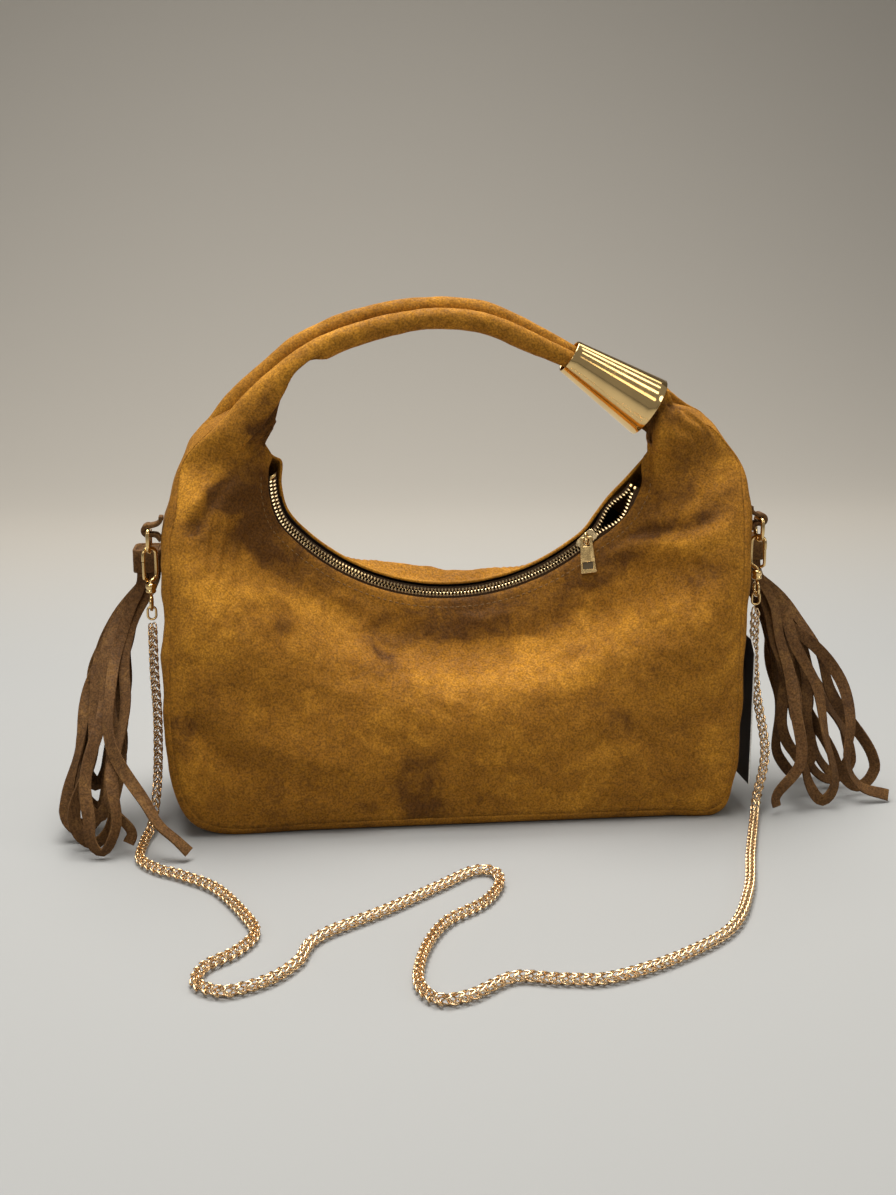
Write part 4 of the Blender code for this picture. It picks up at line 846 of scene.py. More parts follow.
def gridNormals(grid):
    return unit(np.cross(np.gradient(grid, axis=0), np.gradient(grid, axis=1)))


# Folds of the slack suede in millimetres: half width, height, then x and z of the line
frontFolds = [
    (17, -6.5, [(-175, 169), (-128, 158), (-79, 121), (-11, 99), (53, 109), (112, 140), (163, 163)]),
    (24, 5.0, [(-172, 138), (-108, 106), (-45, 73), (36, 73), (107, 104), (158, 130)]),
    (9, -3.2, [(-181, 84), (-149, 51), (-98, 31), (-68, 28)]),
    (14, 3.0, [(-176, 96), (-120, 52), (-50, 40)]),
]
backFolds = [
    (20, 6.0, [(-85, 146), (-50, 132), (-10, 126)]),
    (18, -4.5, [(-172, 165), (-60, 110), (60, 110), (160, 160)]),
    (24, 4.0, [(-170, 120), (-20, 72), (158, 130)]),
    (10, -2.4, [(160, 90), (110, 42), (70, 34)]),
]
# Sharper creases on top of them, seen only close up
frontCreases = [
    (3.6, -2.8, [(68, 160), (84, 162), (106, 165), (128, 170), (152, 179)]),
    (6, 2.4, [(74, 151), (100, 156), (130, 161), (156, 170)]),
    (5, -1.6, [(-174, 82), (-158, 62), (-140, 47), (-118, 38)]),
    (8, -1.3, [(165, 76), (141, 67), (114, 57), (84, 47)]),
    (9, 1.6, [(-171, 160), (-163, 122), (-168, 88)]),
    (7, -1.3, [(60, 80), (88, 60), (110, 30)]),
    (4.5, -3.2, [(-130, 212), (-147, 193), (-166, 166)]),
    (5, 2.4, [(-160, 206), (-154, 194), (-165, 178)]),
    (5, -1.2, [(-100, 196), (-118, 176), (-146, 160)]),
    (9, -1.0, [(-60, 26), (-20, 14), (30, 20)]),
    (6, 1.1, [(-140, 140), (-100, 128), (-70, 104)]),
    (6, -0.9, [(20, 62), (60, 70), (100, 84)]),
]
backCreases = [
    (15, 9.0, [(-88, 140), (-54, 131), (-12, 128), (22, 131), (50, 142)]),
    (6, -1.5, [(-160, 150), (-120, 120), (-90, 112)]),
    (6, -1.5, [(150, 150), (110, 118), (84, 112)]),
    (8, 1.6, [(-150, 60), (-110, 40), (-60, 34)]),
    (7, -1.2, [(-20, 60), (30, 44), (80, 52)]),
]
# Pleats of the two horns, front and back
hornCreases = [
    (3.2, -2.2, [(-104, 255), (-108, 244), (-117, 234), (-130, 224)]),
    (3.0, 1.6, [(-100, 246), (-108, 238), (-116, 228)]),
    (2.6, -1.4, [(-103, 234), (-112, 224), (-120, 208)]),
    (2.4, -2.0, [(110, 240), (109, 226), (107, 212), (109, 196)]),
    (3.0, 1.3, [(114, 236), (113, 222), (113, 206), (112, 190)]),
    (2.2, -1.8, [(104, 228), (103, 220), (106, 212)]),
    (2.6, -2.4, [(108, 241), (116, 241), (128, 240)]),
    (3.0, 1.5, [(112, 246), (122, 246), (134, 243)]),
]


# Ledges where a flap lies over what is behind it: width, drop, painted shade, line; the drop and its painted
# shade are on its right
hornLedges = {
    -1: [(15, -4.6, -0.18, [(-86, 272), (-100, 262), (-108, 248), (-119, 232), (-134, 217)]),
         (12, -2.4, -0.16, [(107, 205), (108, 217), (109, 229), (114, 239)])],
    1: [],
}


def ledgeDrop(grid, ledges):
    # Steps down just right of a line, stays down over the width and comes back up; and the painted shade laid
    # over the dropped part
    drop, shade = np.zeros(grid.shape[:2]), np.zeros(grid.shape[:2])
    for width, height, paintedShadeAmount, line in ledges:
        spots = evenly(catmullRom(np.array(line, float) * mm, 8), 60)
        away = grid[:, :, None, (0, 2)] - spots
        gap = np.linalg.norm(away, axis=3)
        nearest = gap.argmin(axis=2)
        ahead = unit(np.gradient(spots, axis=0))[nearest]
        offset = np.take_along_axis(away, nearest[:, :, None, None], axis=2)[:, :, 0]
        right = ahead[..., 0] * offset[..., 1] - ahead[..., 1] * offset[..., 0]
        share = nearest / (len(spots) - 1)
        fade = smoothStep(8.0 * np.minimum(share, 1 - share) + 0.05, 0.0, 1.0)
        low = fade * smoothStep(right, 0.0, 0.0022) * (1 - smoothStep(right, 0.55 * width * mm, width * mm))
        drop += height * mm * low
        shade += paintedShadeAmount * low
    return drop, shade


def foldHeight(grid, folds, ends=6.0):
    # Each fold is a rounded ridge or valley: height times a bell of the distance to its line
    total = np.zeros(grid.shape[:2])
    for width, height, line in folds:
        spots = evenly(catmullRom(np.array(line, float) * mm, 8), 40)
        gap = np.linalg.norm(grid[:, :, None, (0, 2)] - spots, axis=3)
        share = gap.argmin(axis=2) / (len(spots) - 1)
        fade = smoothStep(ends * np.minimum(share, 1 - share) + 0.1, 0.0, 1.0)
        total += height * mm * fade * np.exp(-(gap.min(axis=2) / (width * mm))**2)
    return total


# Small relief of the suede in metres: slack, folds and puckers, then the hem, its seam and the pleats
suedeRelief = {
    "slack": 0.0009, "fold": 0.0006, "pucker": 0.00022, "rollSlack": 0.00022, "rollPucker": 0.00010,
    "hemRise": 0.00045, "hemFrom": 0.0058, "hemTo": 0.0085,
    "seamAt": 0.0056, "seamDeep": 0.00035, "seamWide": 0.0006,
    "pleat": 0.0009, "pleatTurn": 40.0, "pleatSway": 2.2,
}


def creaseHeight(points, side):
    # Soft handling creases: broad slackness, sharp-bottomed folds and small puckers
    wide = waves(points, 0.060, 11 + side)
    fold = 1.0 - np.abs(waves(points * np.array([1.0, 0.6, 1.6]), 0.036, 23 + side))
    small = waves(points, 0.012, 37 + side)
    return suedeRelief["slack"] * wide + suedeRelief["fold"] * fold + suedeRelief["pucker"] * small


def shapePanel(side):
    # The plain panel pushed out and in along its normals by hem, folds, creases and pleats
    relief = suedeRelief
    grid = panelGrid(side)
    rows, columns = grid.shape[:2]
    normals = side * gridNormals(grid)
    run = np.linalg.norm(np.diff(grid, axis=1), axis=2).cumsum(axis=1)
    fromLip = np.concatenate([np.zeros((rows, 1)), run], axis=1)
    fromEdge = fromLip[:, -1:] - fromLip
    per = bagShape["perRung"]
    first = len(bagShape["handle"]) * per
    last = first + (len(bagShape["body"]) - 1) * per
    row = np.arange(rows)[:, None] + 0 * fromLip
    onBody = smoothStep(row, first, first + per) * smoothStep(-row, -last, per - last)
    nearBody = smoothStep(row, first - 2.2 * per, first - 1.2 * per) \
        * smoothStep(-row, -last - 2.5 * per, -last - 1.7 * per)
    main = onBody * smoothStep(fromLip, 0, 0.030) * smoothStep(fromEdge, 0, 0.030)
    fine = onBody * smoothStep(fromLip, 0.006, 0.016) * smoothStep(fromEdge, 0, 0.012)
    push = main * foldHeight(grid, frontFolds if side < 0 else backFolds)
    creased = fine * foldHeight(grid, frontCreases if side < 0 else backCreases, 3.0)
    creased += nearBody * smoothStep(fromEdge, 0.0, 0.006) * smoothStep(fromLip, 0.0, 0.004) \
        * foldHeight(grid, hornCreases)
    push += creased
    push += fine * creaseHeight(grid, side)
    drop, paintedLedgeAndCreaseShade = ledgeDrop(grid, hornLedges[side])
    # On the front, painted shade in the crease valleys and painted light on the ridges
    if side < 0:
        paintedLedgeAndCreaseShade += paintedShadeAndNap["creases"] * creased      # valleys darker, ridges lighter
    push += drop * smoothStep(fromLip, 0.0, 0.003)
    push += (1 - onBody) * (relief["rollSlack"] * waves(grid, 0.024, 51 + side)
                            + relief["rollPucker"] * waves(grid, 0.008, 55 + side))
    hem = onBody * smoothStep(fromLip, 0.0, 0.0015) * smoothStep(row, first + 2.4 * per, first + 4.2 * per)
    push += hem * (relief["hemRise"] * (1 - smoothStep(fromLip, relief["hemFrom"], relief["hemTo"]))
                   - relief["seamDeep"] * np.exp(-((fromLip - relief["seamAt"]) / relief["seamWide"])**2))
    pleatRow = rows - 1 - 3 * per
    gathered = smoothStep(row, pleatRow - 1.2 * per, pleatRow + 0.2 * per)
    share = np.linspace(0, 1, columns)[None, :] + 0 * fromLip
    ripple = np.cos(share * relief["pleatTurn"] + relief["pleatSway"] * waves(grid, 0.030, 71 + side))
    ending = 1 - smoothStep(row, pleatRow + 0.9 * per, pleatRow + 1.5 * per)
    push += gathered * relief["pleat"] * ripple * ending
    grid = grid + push[..., None] * normals
    grid[..., 2] = np.maximum(grid[..., 2], 0.0)
    return grid, fromLip, onBody, paintedLedgeAndCreaseShade


# Painted shade and painted light in the suede's colour, besides brushed nap: the band under the zip (painted
# shade on the front, painted light on the back), creases, patches, the inner face (painted shade) and the
# whole
paintedShadeAndNap = {
    "band": {-1: -0.15, 1: 0.05}, "bandReach": 0.157, "bandSway": 0.0055, "bandRagged": 0.0014,
    "bandSoft": 0.003, "creases": 45.0, "patches": 0.85, "patchRagged": 0.28, "inside": -0.14,
    "all": 0.03,
}
# Patches on the front, some brushed nap and some painted shade and painted light (the horns, the left side,
# the hollow under the left horn, the lit bulge): x, z, radius x, radius z in millimetres, turn in degrees,
# amount
frontNapAndShadePatches = [
    (-143, 168, 30, 13, -14, -0.17), (-133, 196, 15, 22, -20, -0.12), (-120, 176, 16, 22, 20, -0.10),
    (-166, 196, 9, 18, -15, 0.12), (-152, 142, 20, 10, -8, 0.10), (-118, 238, 8, 16, -35, -0.12),
    (140, 143, 16, 9, 10, -0.12), (128, 208, 10, 24, 10, -0.06), (116, 234, 10, 12, 0, -0.14),
    (-38, 26, 26, 20, 30, -0.20), (-10, 12, 30, 8, 0, -0.10), (118, 38, 26, 20, 40, -0.12),
    (78, 58, 18, 10, 0, -0.12), (-30, 74, 34, 14, 10, 0.07), (30, 84, 60, 16, 5, 0.08),
    (-148, 128, 16, 26, 0, 0.10), (-112, 118, 9, 8, 0, -0.14), (-60, 96, 20, 8, 0, -0.10),
    (112, 118, 30, 12, 20, 0.09), (150, 183, 15, 12, 15, -0.16), (96, 152, 22, 9, 30, -0.06),
    (-140, 186, 20, 12, -30, -0.12), (-170, 60, 8, 16, 0, -0.16), (60, 22, 40, 10, 0, -0.05),
    (140, 225, 12, 8, 0, 0.05), (-150, 100, 26, 40, 0, -0.08), (128, 215, 22, 28, 0, -0.10),
    (-125, 235, 16, 20, -35, -0.08),
]


def panelShade(grid, side, onBody, paintedLedgeAndCreaseShade):
    # The band of painted shade follows the zip's arc with a ragged edge; each patch is a soft ellipse
    look = paintedShadeAndNap
    x, z = grid[..., 0], grid[..., 2]
    away = np.hypot(x - zipShape["x"], z - zipShape["z"])
    edge = look["bandReach"] + look["bandSway"] * waves(grid, 0.050, 5 + side) \
        + look["bandRagged"] * waves(grid, 0.011, 8 + side)
    band = 1 - smoothStep(away, edge - look["bandSoft"], edge + look["bandSoft"])
    # Front: painted shade in the band under the zip; back: painted light there; plus the ledges' and creases'
    # painted shade
    shade = look["band"][side] * band * onBody + paintedLedgeAndCreaseShade
    if side < 0:
        for px, pz, rx, rz, turn, amount in frontNapAndShadePatches:
            c, s = math.cos(math.radians(turn)), math.sin(math.radians(turn))
            dx, dz = x - px * mm, z - pz * mm
            u, v = (dx * c + dz * s) / (rx * mm), (-dx * s + dz * c) / (rz * mm)
            far = np.sqrt(u * u + v * v) + look["patchRagged"] * waves(grid, 0.022, 90)
            shade = shade + look["patches"] * amount * (1 - smoothStep(far, 0.45, 1.25))
    return shade + look["all"]


def shellMesh(name, grid, side, shade):
    # Outer face, rounded lip, inner face and seam edge as one closed loop in every row
    thick = bagShape["suede"]
    normals = side * gridNormals(grid)
    inner = grid - thick * normals
    toward = unit(grid[:, 0] - grid[:, 1])
    centre = grid[:, 0] - 0.5 * thick * normals[:, 0]
    arc = [centre + 0.5 * thick * (math.sin(a) * normals[:, 0] + math.cos(a) * toward)
           for a in np.radians([-55.0, -20.0, 20.0, 55.0])]
    loop = np.concatenate([grid, inner[:, ::-1], np.stack(arc, axis=1)], axis=1)
    rows, around = loop.shape[:2]
    columns = grid.shape[1]
    inside = (np.arange(around) >= columns - 1) & (np.arange(around) < 2 * columns)
    step = np.arange(rows - 1)[:, None] / bagShape["perRung"] - len(bagShape["handle"])
    lined = (step > 2.4) & (step < len(bagShape["body"]) - 3.4)      # the ends show suede inside
    finish = (inside[None] & lined).astype(int).reshape(-1)
    faces = cappedFaces(rows, around)
    if side > 0:
        faces = turnedOver(faces)
    # The inner face is darker by painted shade inside the bag
    shades = [shade, shade[:, ::-1] + paintedShadeAndNap["inside"], np.repeat(shade[:, :1], len(arc), axis=1)]
    return putMesh(name, loop, faces, [tanSuede, liningCloth], faceFinish=list(finish) + [0, 0],
                   values={"shade": np.concatenate(shades, axis=1)})


panels = {}
for side, word in faceWords.items():
    grid, fromLip, onBody, paintedLedgeAndCreaseShade = shapePanel(side)
    panels[side] = (grid, fromLip)
    piece = shellMesh(f"{word}Panel", grid, side, panelShade(grid, side, onBody, paintedLedgeAndCreaseShade))
    dress(piece, "bag", "tan_suede", f"{word}_panel")
print("stage: panels")


gussetShape = {
    "smallestRound": 0.0006, "roundSteps": 7, "acrossSteps": 21, "lift": 0.00005, "fullSwell": 0.044,
    "slack": 0.0009, "pucker": 0.0002, "slackFrom": 0.004, "slackTo": 0.03, "fullSlack": 0.060,
}


def makeGusset():
    # A strip between the panels' outer edges: quarter rounds at both long edges, a swell between,
    # and a tongue at each end that dies away between the two rolls
    shape = gussetShape
    per = bagShape["perRung"]
    low = len(bagShape["handle"]) - 2
    high = len(bagShape["handle"]) + len(bagShape["body"]) + 1
    front = panels[-1][0][low * per:high * per + 1, -1]
    back = panels[1][0][low * per:high * per + 1, -1]
    ends = [rungEnds(rung) for rung in bagRungs[low:high + 1]]
    out = unit(catmullRom([unit(end[2] - end[1]) for end in ends], per))
    corner = catmullRom([(cornerOf(rung),) for rung in bagRungs[low:high + 1]], per)
    corner = np.clip(corner, shape["smallestRound"], bagShape["cornerRound"])
    across = back - front
    width = np.linalg.norm(across, axis=1, keepdims=True)
    sidewise = across / width
    out = unit(out - sidewise * np.sum(out * sidewise, axis=1, keepdims=True))
    corner = np.minimum(corner, 0.45 * width)
    middle = 0.5 * (front + back)
    upright = np.clip(middle[:, 2:] / bagShape["cornerRound"] - 1.0, 0.0, 1.0)
    swell = bagShape["sideSwell"] * upright * np.minimum(1.0, width / shape["fullSwell"])
    turn = np.radians(np.linspace(0.0, 90.0, shape["roundSteps"]))
    base = out * shape["lift"]
    columns = []
    for a in turn:
        columns.append(front + base + out * corner * math.sin(a) + sidewise * corner * (1 - math.cos(a)))
    for share in np.linspace(-1.0, 1.0, shape["acrossSteps"])[1:-1]:
        place = 0.5 + (0.5 - corner / width) * share
        columns.append(front + base + across * place + out * (corner + swell * (1 - share**2)))
    for a in turn[::-1]:
        columns.append(back + base + out * corner * math.sin(a) - sidewise * corner * (1 - math.cos(a)))
    grid = np.stack(columns, axis=1)
    grid[:, :, 2] = np.maximum(grid[:, :, 2], 0.0)
    normals = -gridNormals(grid)
    flat = np.linspace(-1, 1, grid.shape[1])[None, :]
    lift = smoothStep(grid[..., 2], shape["slackFrom"], shape["slackTo"]) \
        * np.minimum(1.0, width / shape["fullSlack"])
    push = lift * (1 - np.abs(flat)**4) * (
        shape["slack"] * waves(grid * np.array([1, 0.7, 1]), 0.035, 15)
        + shape["pucker"] * waves(grid, 0.012, 16))
    grid = grid + push[..., None] * normals
    thick = np.minimum(bagShape["suede"], 0.4 * width)[:, None]
    normals[:, 0], normals[:, -1] = -sidewise, sidewise
    inner = grid - thick * normals
    loop = np.concatenate([grid, inner[:, ::-1]], axis=1)
    faces = turnedOver(cappedFaces(*loop.shape[:2]))
    shade = -0.03 + 0.04 * waves(loop, 0.05, 44)
    piece = putMesh("gussetBase", loop, faces, [tanSuede, liningCloth],
                    faceFinish=[0] * (len(faces) - 2) + [1, 1], values={"shade": shade})
    dress(piece, "bag", "tan_suede", "gusset_base")


makeGusset()
print("stage: gusset")


# Cone

def makeCone():
    # Profile turned about the cone's axis: thin wall, a small bead at each rim, one seam line
    shape = coneShape
    length, wall, half = shape["length"], shape["wall"], 0.5 * shape["wall"]
    depth = np.linspace(0.0, length, 16)
    radius = shape["small"] + (shape["large"] - shape["small"]) * depth / length
    outer = list(zip(depth, radius))
    rim = np.radians(np.linspace(90, -90, 5))[1:-1]
    lowRim = [(length + half * math.cos(a), radius[-1] - half + half * math.sin(a)) for a in rim]
    highRim = [(-half * math.cos(a), radius[0] - half - half * math.sin(a)) for a in rim]
    profile = np.array(outer + lowRim + [(d, r - wall) for d, r in outer[::-1]] + highRim)
    turn = np.arange(shape["around"]) * tau / shape["around"]
    radial = np.cos(turn)[:, None] * coneUpper() + np.sin(turn)[:, None] * bagBack
    seam = np.exp(-((np.angle(np.exp(1j * (turn - shape["seamTurn"]))) / shape["seamWide"])**2))
    grow = profile[:, 1][None, :] - shape["seamDeep"] * seam[:, None]
    beads = np.exp(-((profile[:, 0] - shape["beadIn"]) / shape["bead"])**2) \
        + np.exp(-((profile[:, 0] - length + shape["beadIn"]) / shape["bead"])**2)
    grow = grow + shape["beadRise"] * beads[None, :]
    along = profile[:, 0][None, :, None] * coneAxis()
    points = conePoint(0.0, 0.0) + along + grow[..., None] * radial[:, None]
    faces = gridFaces(shape["around"], len(profile), wrapColumns=True, wrapRows=True)
    piece = putMesh("handleCone", points, faces, [gold])
    dress(piece, "bag", "gold_metal", "handle_cone")


makeCone()


# Zip

toothSize = {"pitch": 0.0021, "halfDepth": 0.00125, "middle": -0.00155, "gap": 0.0001, "bevel": 0.00016}
# A tape's section in metres, across from the zip's middle and out of its face
tapeSection = np.array([
    (0.0016, -0.0012), (0.0022, -0.0008), (0.0027, -0.0014), (0.0030, -0.0021), (0.0050, -0.0022),
    (0.0078, -0.0022), (0.0078, -0.0028), (0.0050, -0.0028), (0.0030, -0.0028), (0.0020, -0.0030),
    (0.0014, -0.0022)])
tapeShape = {"flatFrom": 0.0030, "flatShare": {-1: 1.0, 1: 0.30}, "past": 0.02, "stations": 240}


def toothShape():
    # Across the tape: broad root, waist and rounded head; each station is a small rectangle
    stations = [(0.0024, 0.56, 0.90), (0.0011, 0.56, 0.95), (0.0006, 0.38, 0.95), (0.0000, 0.42, 0.86),
                (-0.0004, 0.30, 0.62)]
    points = [(along * wide * mm, across, out * deep * toothSize["halfDepth"])
              for across, wide, deep in stations
              for along, out in ((-1, -1), (1, -1), (1, 1), (-1, 1))]
    return np.array(points), turnedOver(cappedFaces(len(stations), 4))


def makeTeeth():
    # One tooth at every pitch; the back row sits half a pitch on, and both bow out past the slider
    pitch = toothSize["pitch"] / zipShape["radius"]
    shape, faces = toothShape()
    for side, word in faceWords.items():
        angles = np.arange(zipShape["left"] + (0.25 if side < 0 else 0.75) * pitch,
                           zipShape["right"] - 0.3 * pitch, pitch)
        places = zipPoint(angles, side * (toothSize["gap"] + mouthBow(angles)), toothSize["middle"])
        frames = np.stack([zipAlong(angles), side * zipAcross(angles), zipFace(angles)], axis=1)
        points, quads = copiesOf(shape, np.array(faces), places, frames)
        if side < 0:
            quads = quads[:, ::-1]
        piece = putMesh(f"zipTeeth{word.capitalize()}", points, quads, [zipGold], smooth=False)
        bevelled(piece, toothSize["bevel"], 1)
        dress(piece, "bag", "gold_metal", f"zip_teeth_{word}")


def makeTapes():
    # The section carried along the zip; the back tape's flat is shorter and ends under the back edge
    angles = np.linspace(zipShape["left"] - tapeShape["past"], zipShape["right"] + tapeShape["past"],
                         tapeShape["stations"])
    bow = mouthBow(angles)
    for side, word in faceWords.items():
        across, out = tapeSection[:, 0], tapeSection[:, 1]
        edge = tapeShape["flatFrom"]
        across = np.minimum(across, edge + tapeShape["flatShare"][side] * (across - edge))
        points = np.stack([zipPoint(angles, side * (a + bow), o) for a, o in zip(across, out)], axis=1)
        faces = cappedFaces(len(angles), len(across))
        if side > 0:
            faces = turnedOver(faces)
        map2 = np.stack([np.repeat((angles * zipShape["radius"])[:, None], len(across), axis=1),
                         np.tile(across, (len(angles), 1))], axis=-1)
        piece = putMesh(f"zipTape{word.capitalize()}", points, faces, [zipTape], uv=map2)
        dress(piece, "bag", "zip_tape", f"zip_tape_{word}")


stitchShape = {
    "pitch": 0.0037, "length": 0.0027, "radius": 0.00032, "lift": 0.30, "dip": 5.2, "taper": 1.4,
    "stations": 6, "sides": 6, "startRung": 0.9, "rungs": 17.6,
}


def lipLine(side, distance):
    # The line on a panel at one distance from its lip, over the zip's length
    grid, fromLip = panels[side]
    per = bagShape["perRung"]
    start = len(bagShape["handle"]) * per + int(stitchShape["startRung"] * per)
    stop = start + int(stitchShape["rungs"] * per)
    normals = side * gridNormals(grid)
    picked, faceOut = [], []
    for k in range(start, stop):
        place = np.interp(distance, fromLip[k], np.arange(grid.shape[1]))
        low = int(place)
        share = place - low
        picked.append(grid[k, low] * (1 - share) + grid[k, low + 1] * share)
        faceOut.append(normals[k, low])
    return np.array(picked), np.array(faceOut)


def makeStitches(name, line, out):
    # Each stitch is a short arched tube whose ends dip into the suede
    size, radius, sides = stitchShape, stitchShape["radius"], stitchShape["sides"]
    fine, lift = catmullRom(line, 4), unit(catmullRom(out, 4))
    run = lengthAlong(fine)
    where = np.arange(size["pitch"], run[-1] - size["pitch"], size["pitch"])
    places = atLengths(fine, where)
    ahead = unit(atLengths(fine, where + 0.0004) - places)
    normal = unit(np.stack([np.interp(where, run, lift[:, k]) for k in range(3)], axis=1))
    side = unit(np.cross(normal, ahead))
    stations = np.linspace(-0.5, 0.5, size["stations"])
    rise = radius * (size["lift"] - size["dip"] * stations**2)
    ring = np.arange(sides) * tau / sides
    taper = 1.0 - size["taper"] * stations**2
    shape = np.stack([np.repeat(stations * size["length"], sides),
                      (radius * taper[:, None] * np.cos(ring)[None]).reshape(-1),
                      (rise[:, None] + radius * taper[:, None] * np.sin(ring)[None]).reshape(-1)], axis=1)
    frames = np.stack([ahead, side, np.cross(ahead, side)], axis=1)
    points, quads = copiesOf(shape, gridFaces(len(stations), sides, wrapColumns=True), places, frames)
    caps = []
    for start in range(0, len(points), len(shape)):
        caps.append([start + j for j in range(sides)][::-1])
        caps.append([start + len(shape) - sides + j for j in range(sides)])
    return putMesh(name, points, quads.tolist() + caps, [seamThread])


def makeStops():
    # Small folded metal stops: rounded blocks round the cord edges of both tapes
    gap = zipShape["stopGap"] / zipShape["radius"]
    long = zipShape["stopLength"] / zipShape["radius"]
    near, far = zipShape["rowGap"], zipShape["rowGap"] + zipShape["rowWidth"]
    deep = zipShape["rowDeep"]
    atLeft, atRight = zipShape["left"] - gap - long, zipShape["right"] + gap
    spots = [("zipStopLeft", "zip_stop_left", atLeft, -far, far),
             ("zipStopRightFront", "zip_stop_right_front", atRight, -far, -near),
             ("zipStopRightBack", "zip_stop_right_back", atRight, near, far)]
    for name, node, start, low, high in spots:
        corners = [zipPoint(a, w, n) for a in (start, start + long)
                   for w, n in ((low, -deep), (high, -deep), (high, 0.0), (low, 0.0))]
        piece = putMesh(name, corners, cappedFaces(2, 4), [gold])
        bevelled(piece, 0.00045, 3)
        dress(piece, "bag", "gold_metal", node)


makeTeeth()
makeTapes()
makeStops()
for side, word in faceWords.items():
    line, out = lipLine(side, suedeRelief["seamAt"])
    stitches = makeStitches(f"zipStitches{word.capitalize()}", line, out)
    dress(stitches, "bag", "tan_suede")
print("stage: zip")


# Slider and pull

sliderShape = {
    "length": zipShape["sliderLength"], "half": 0.0038, "plate": 0.0012, "clear": 0.00035,
    "postLong": 0.0015, "postThin": 0.0002, "postSunk": 0.0004,
    "archSpan": 0.0062, "archRise": 0.0033, "archWire": 0.0012,
    "pullLength": 0.022, "pullTop": 0.0072, "pullFoot": 0.0096, "pullThick": 0.0014,
    "pullSunk": 0.00035, "pullClear": 0.0003, "bar": 0.0012, "turn": math.radians(34.5),
}


def zipFrame(angle, points):
    # Local x along the zip, y across it and z out of its face, at the zip's middle
    frames = np.stack([zipAlong(angle), zipAcross(angle), zipFace(angle)])
    return zipPoint(angle, 0.0, 0.0) + np.asarray(points, float) @ frames


def plateMesh(outline, low, high):
    # A flat outline given thickness, as arrays of points and faces
    outline = np.asarray(outline, float)
    levels = [np.column_stack([outline, np.full(len(outline), level)]) for level in (low, high)]
    return np.concatenate(levels), cappedFaces(2, len(outline))


def hangSpin():
    # Turns a shape drawn along the zip so that its length hangs down the front
    turned = -(math.pi / 2 + sliderShape["turn"])
    c, s = math.cos(turned), math.sin(turned)
    return np.array([[c, s, 0], [-s, c, 0], [0, 0, 1]])


def makeSlider():
    # Two plates of one outline above and below the teeth, with a thin post between them
    shape = sliderShape
    top = zipShape["rowTop"] + shape["clear"]
    low = zipShape["rowTop"] - zipShape["rowDeep"] - shape["clear"]
    length, half = 0.5 * shape["length"], shape["half"]
    lower = [(-length, -0.62 * half), (-0.75 * length, -0.86 * half), (-0.1 * length, -0.98 * half),
             (0.35 * length, -half), (0.75 * length, -0.96 * half), (length, -0.70 * half)]
    outline = lower + [(0.97 * length, 0.0)] + [(x, -y) for x, y in lower[::-1]] + [(-1.02 * length, 0.0)]
    long, thin, sunk = shape["postLong"], shape["postThin"], shape["postSunk"]
    post = [(-long, -thin), (long, -thin), (long, thin), (-long, thin)]
    points, faces = [], []
    for flat, bottom, upper in ((outline, top, top + shape["plate"]), (outline, low - shape["plate"], low),
                                (post, low - sunk, top + sunk)):
        corners, rim = plateMesh(flat, bottom, upper)
        faces += [[len(points) + k for k in face] for face in rim]
        points += corners.tolist()
    piece = putMesh("zipSlider", zipFrame(zipShape["slider"], points), faces, [zipGold])
    bevelled(piece, 0.00035, 3)
    dress(piece, "slider", "gold_metal", "zip_slider")


def makeArch():
    # A flattened wire that stands on the slider's upper plate; returns the height of its crown
    shape = sliderShape
    plateTop = zipShape["rowTop"] + shape["clear"] + shape["plate"]
    crown = plateTop + shape["archRise"] - 0.5 * shape["archWire"]
    reach = 0.5 * shape["archSpan"]
    foot, shoulder = plateTop - 0.0004, crown - 0.3 * shape["archRise"]
    route = [(-reach, 0, foot), (-reach, 0, shoulder), (-0.55 * reach, 0, crown),
             (0.55 * reach, 0, crown), (reach, 0, shoulder), (reach, 0, foot)]
    line = evenly(catmullRom(route, 8), 28)
    sides = 12
    rings = tubeGrid(line, 0.5 * shape["archWire"], sides, (0.0, 1.0, 0.0)) * np.array([1.0, 1.5, 1.0])
    rings = zipFrame(zipShape["slider"], rings.reshape(-1, 3) @ hangSpin())
    arch = putMesh("sliderArch", rings, cappedFaces(len(line), sides), [gold])
    dress(arch, "slider", "gold_metal")
    return crown


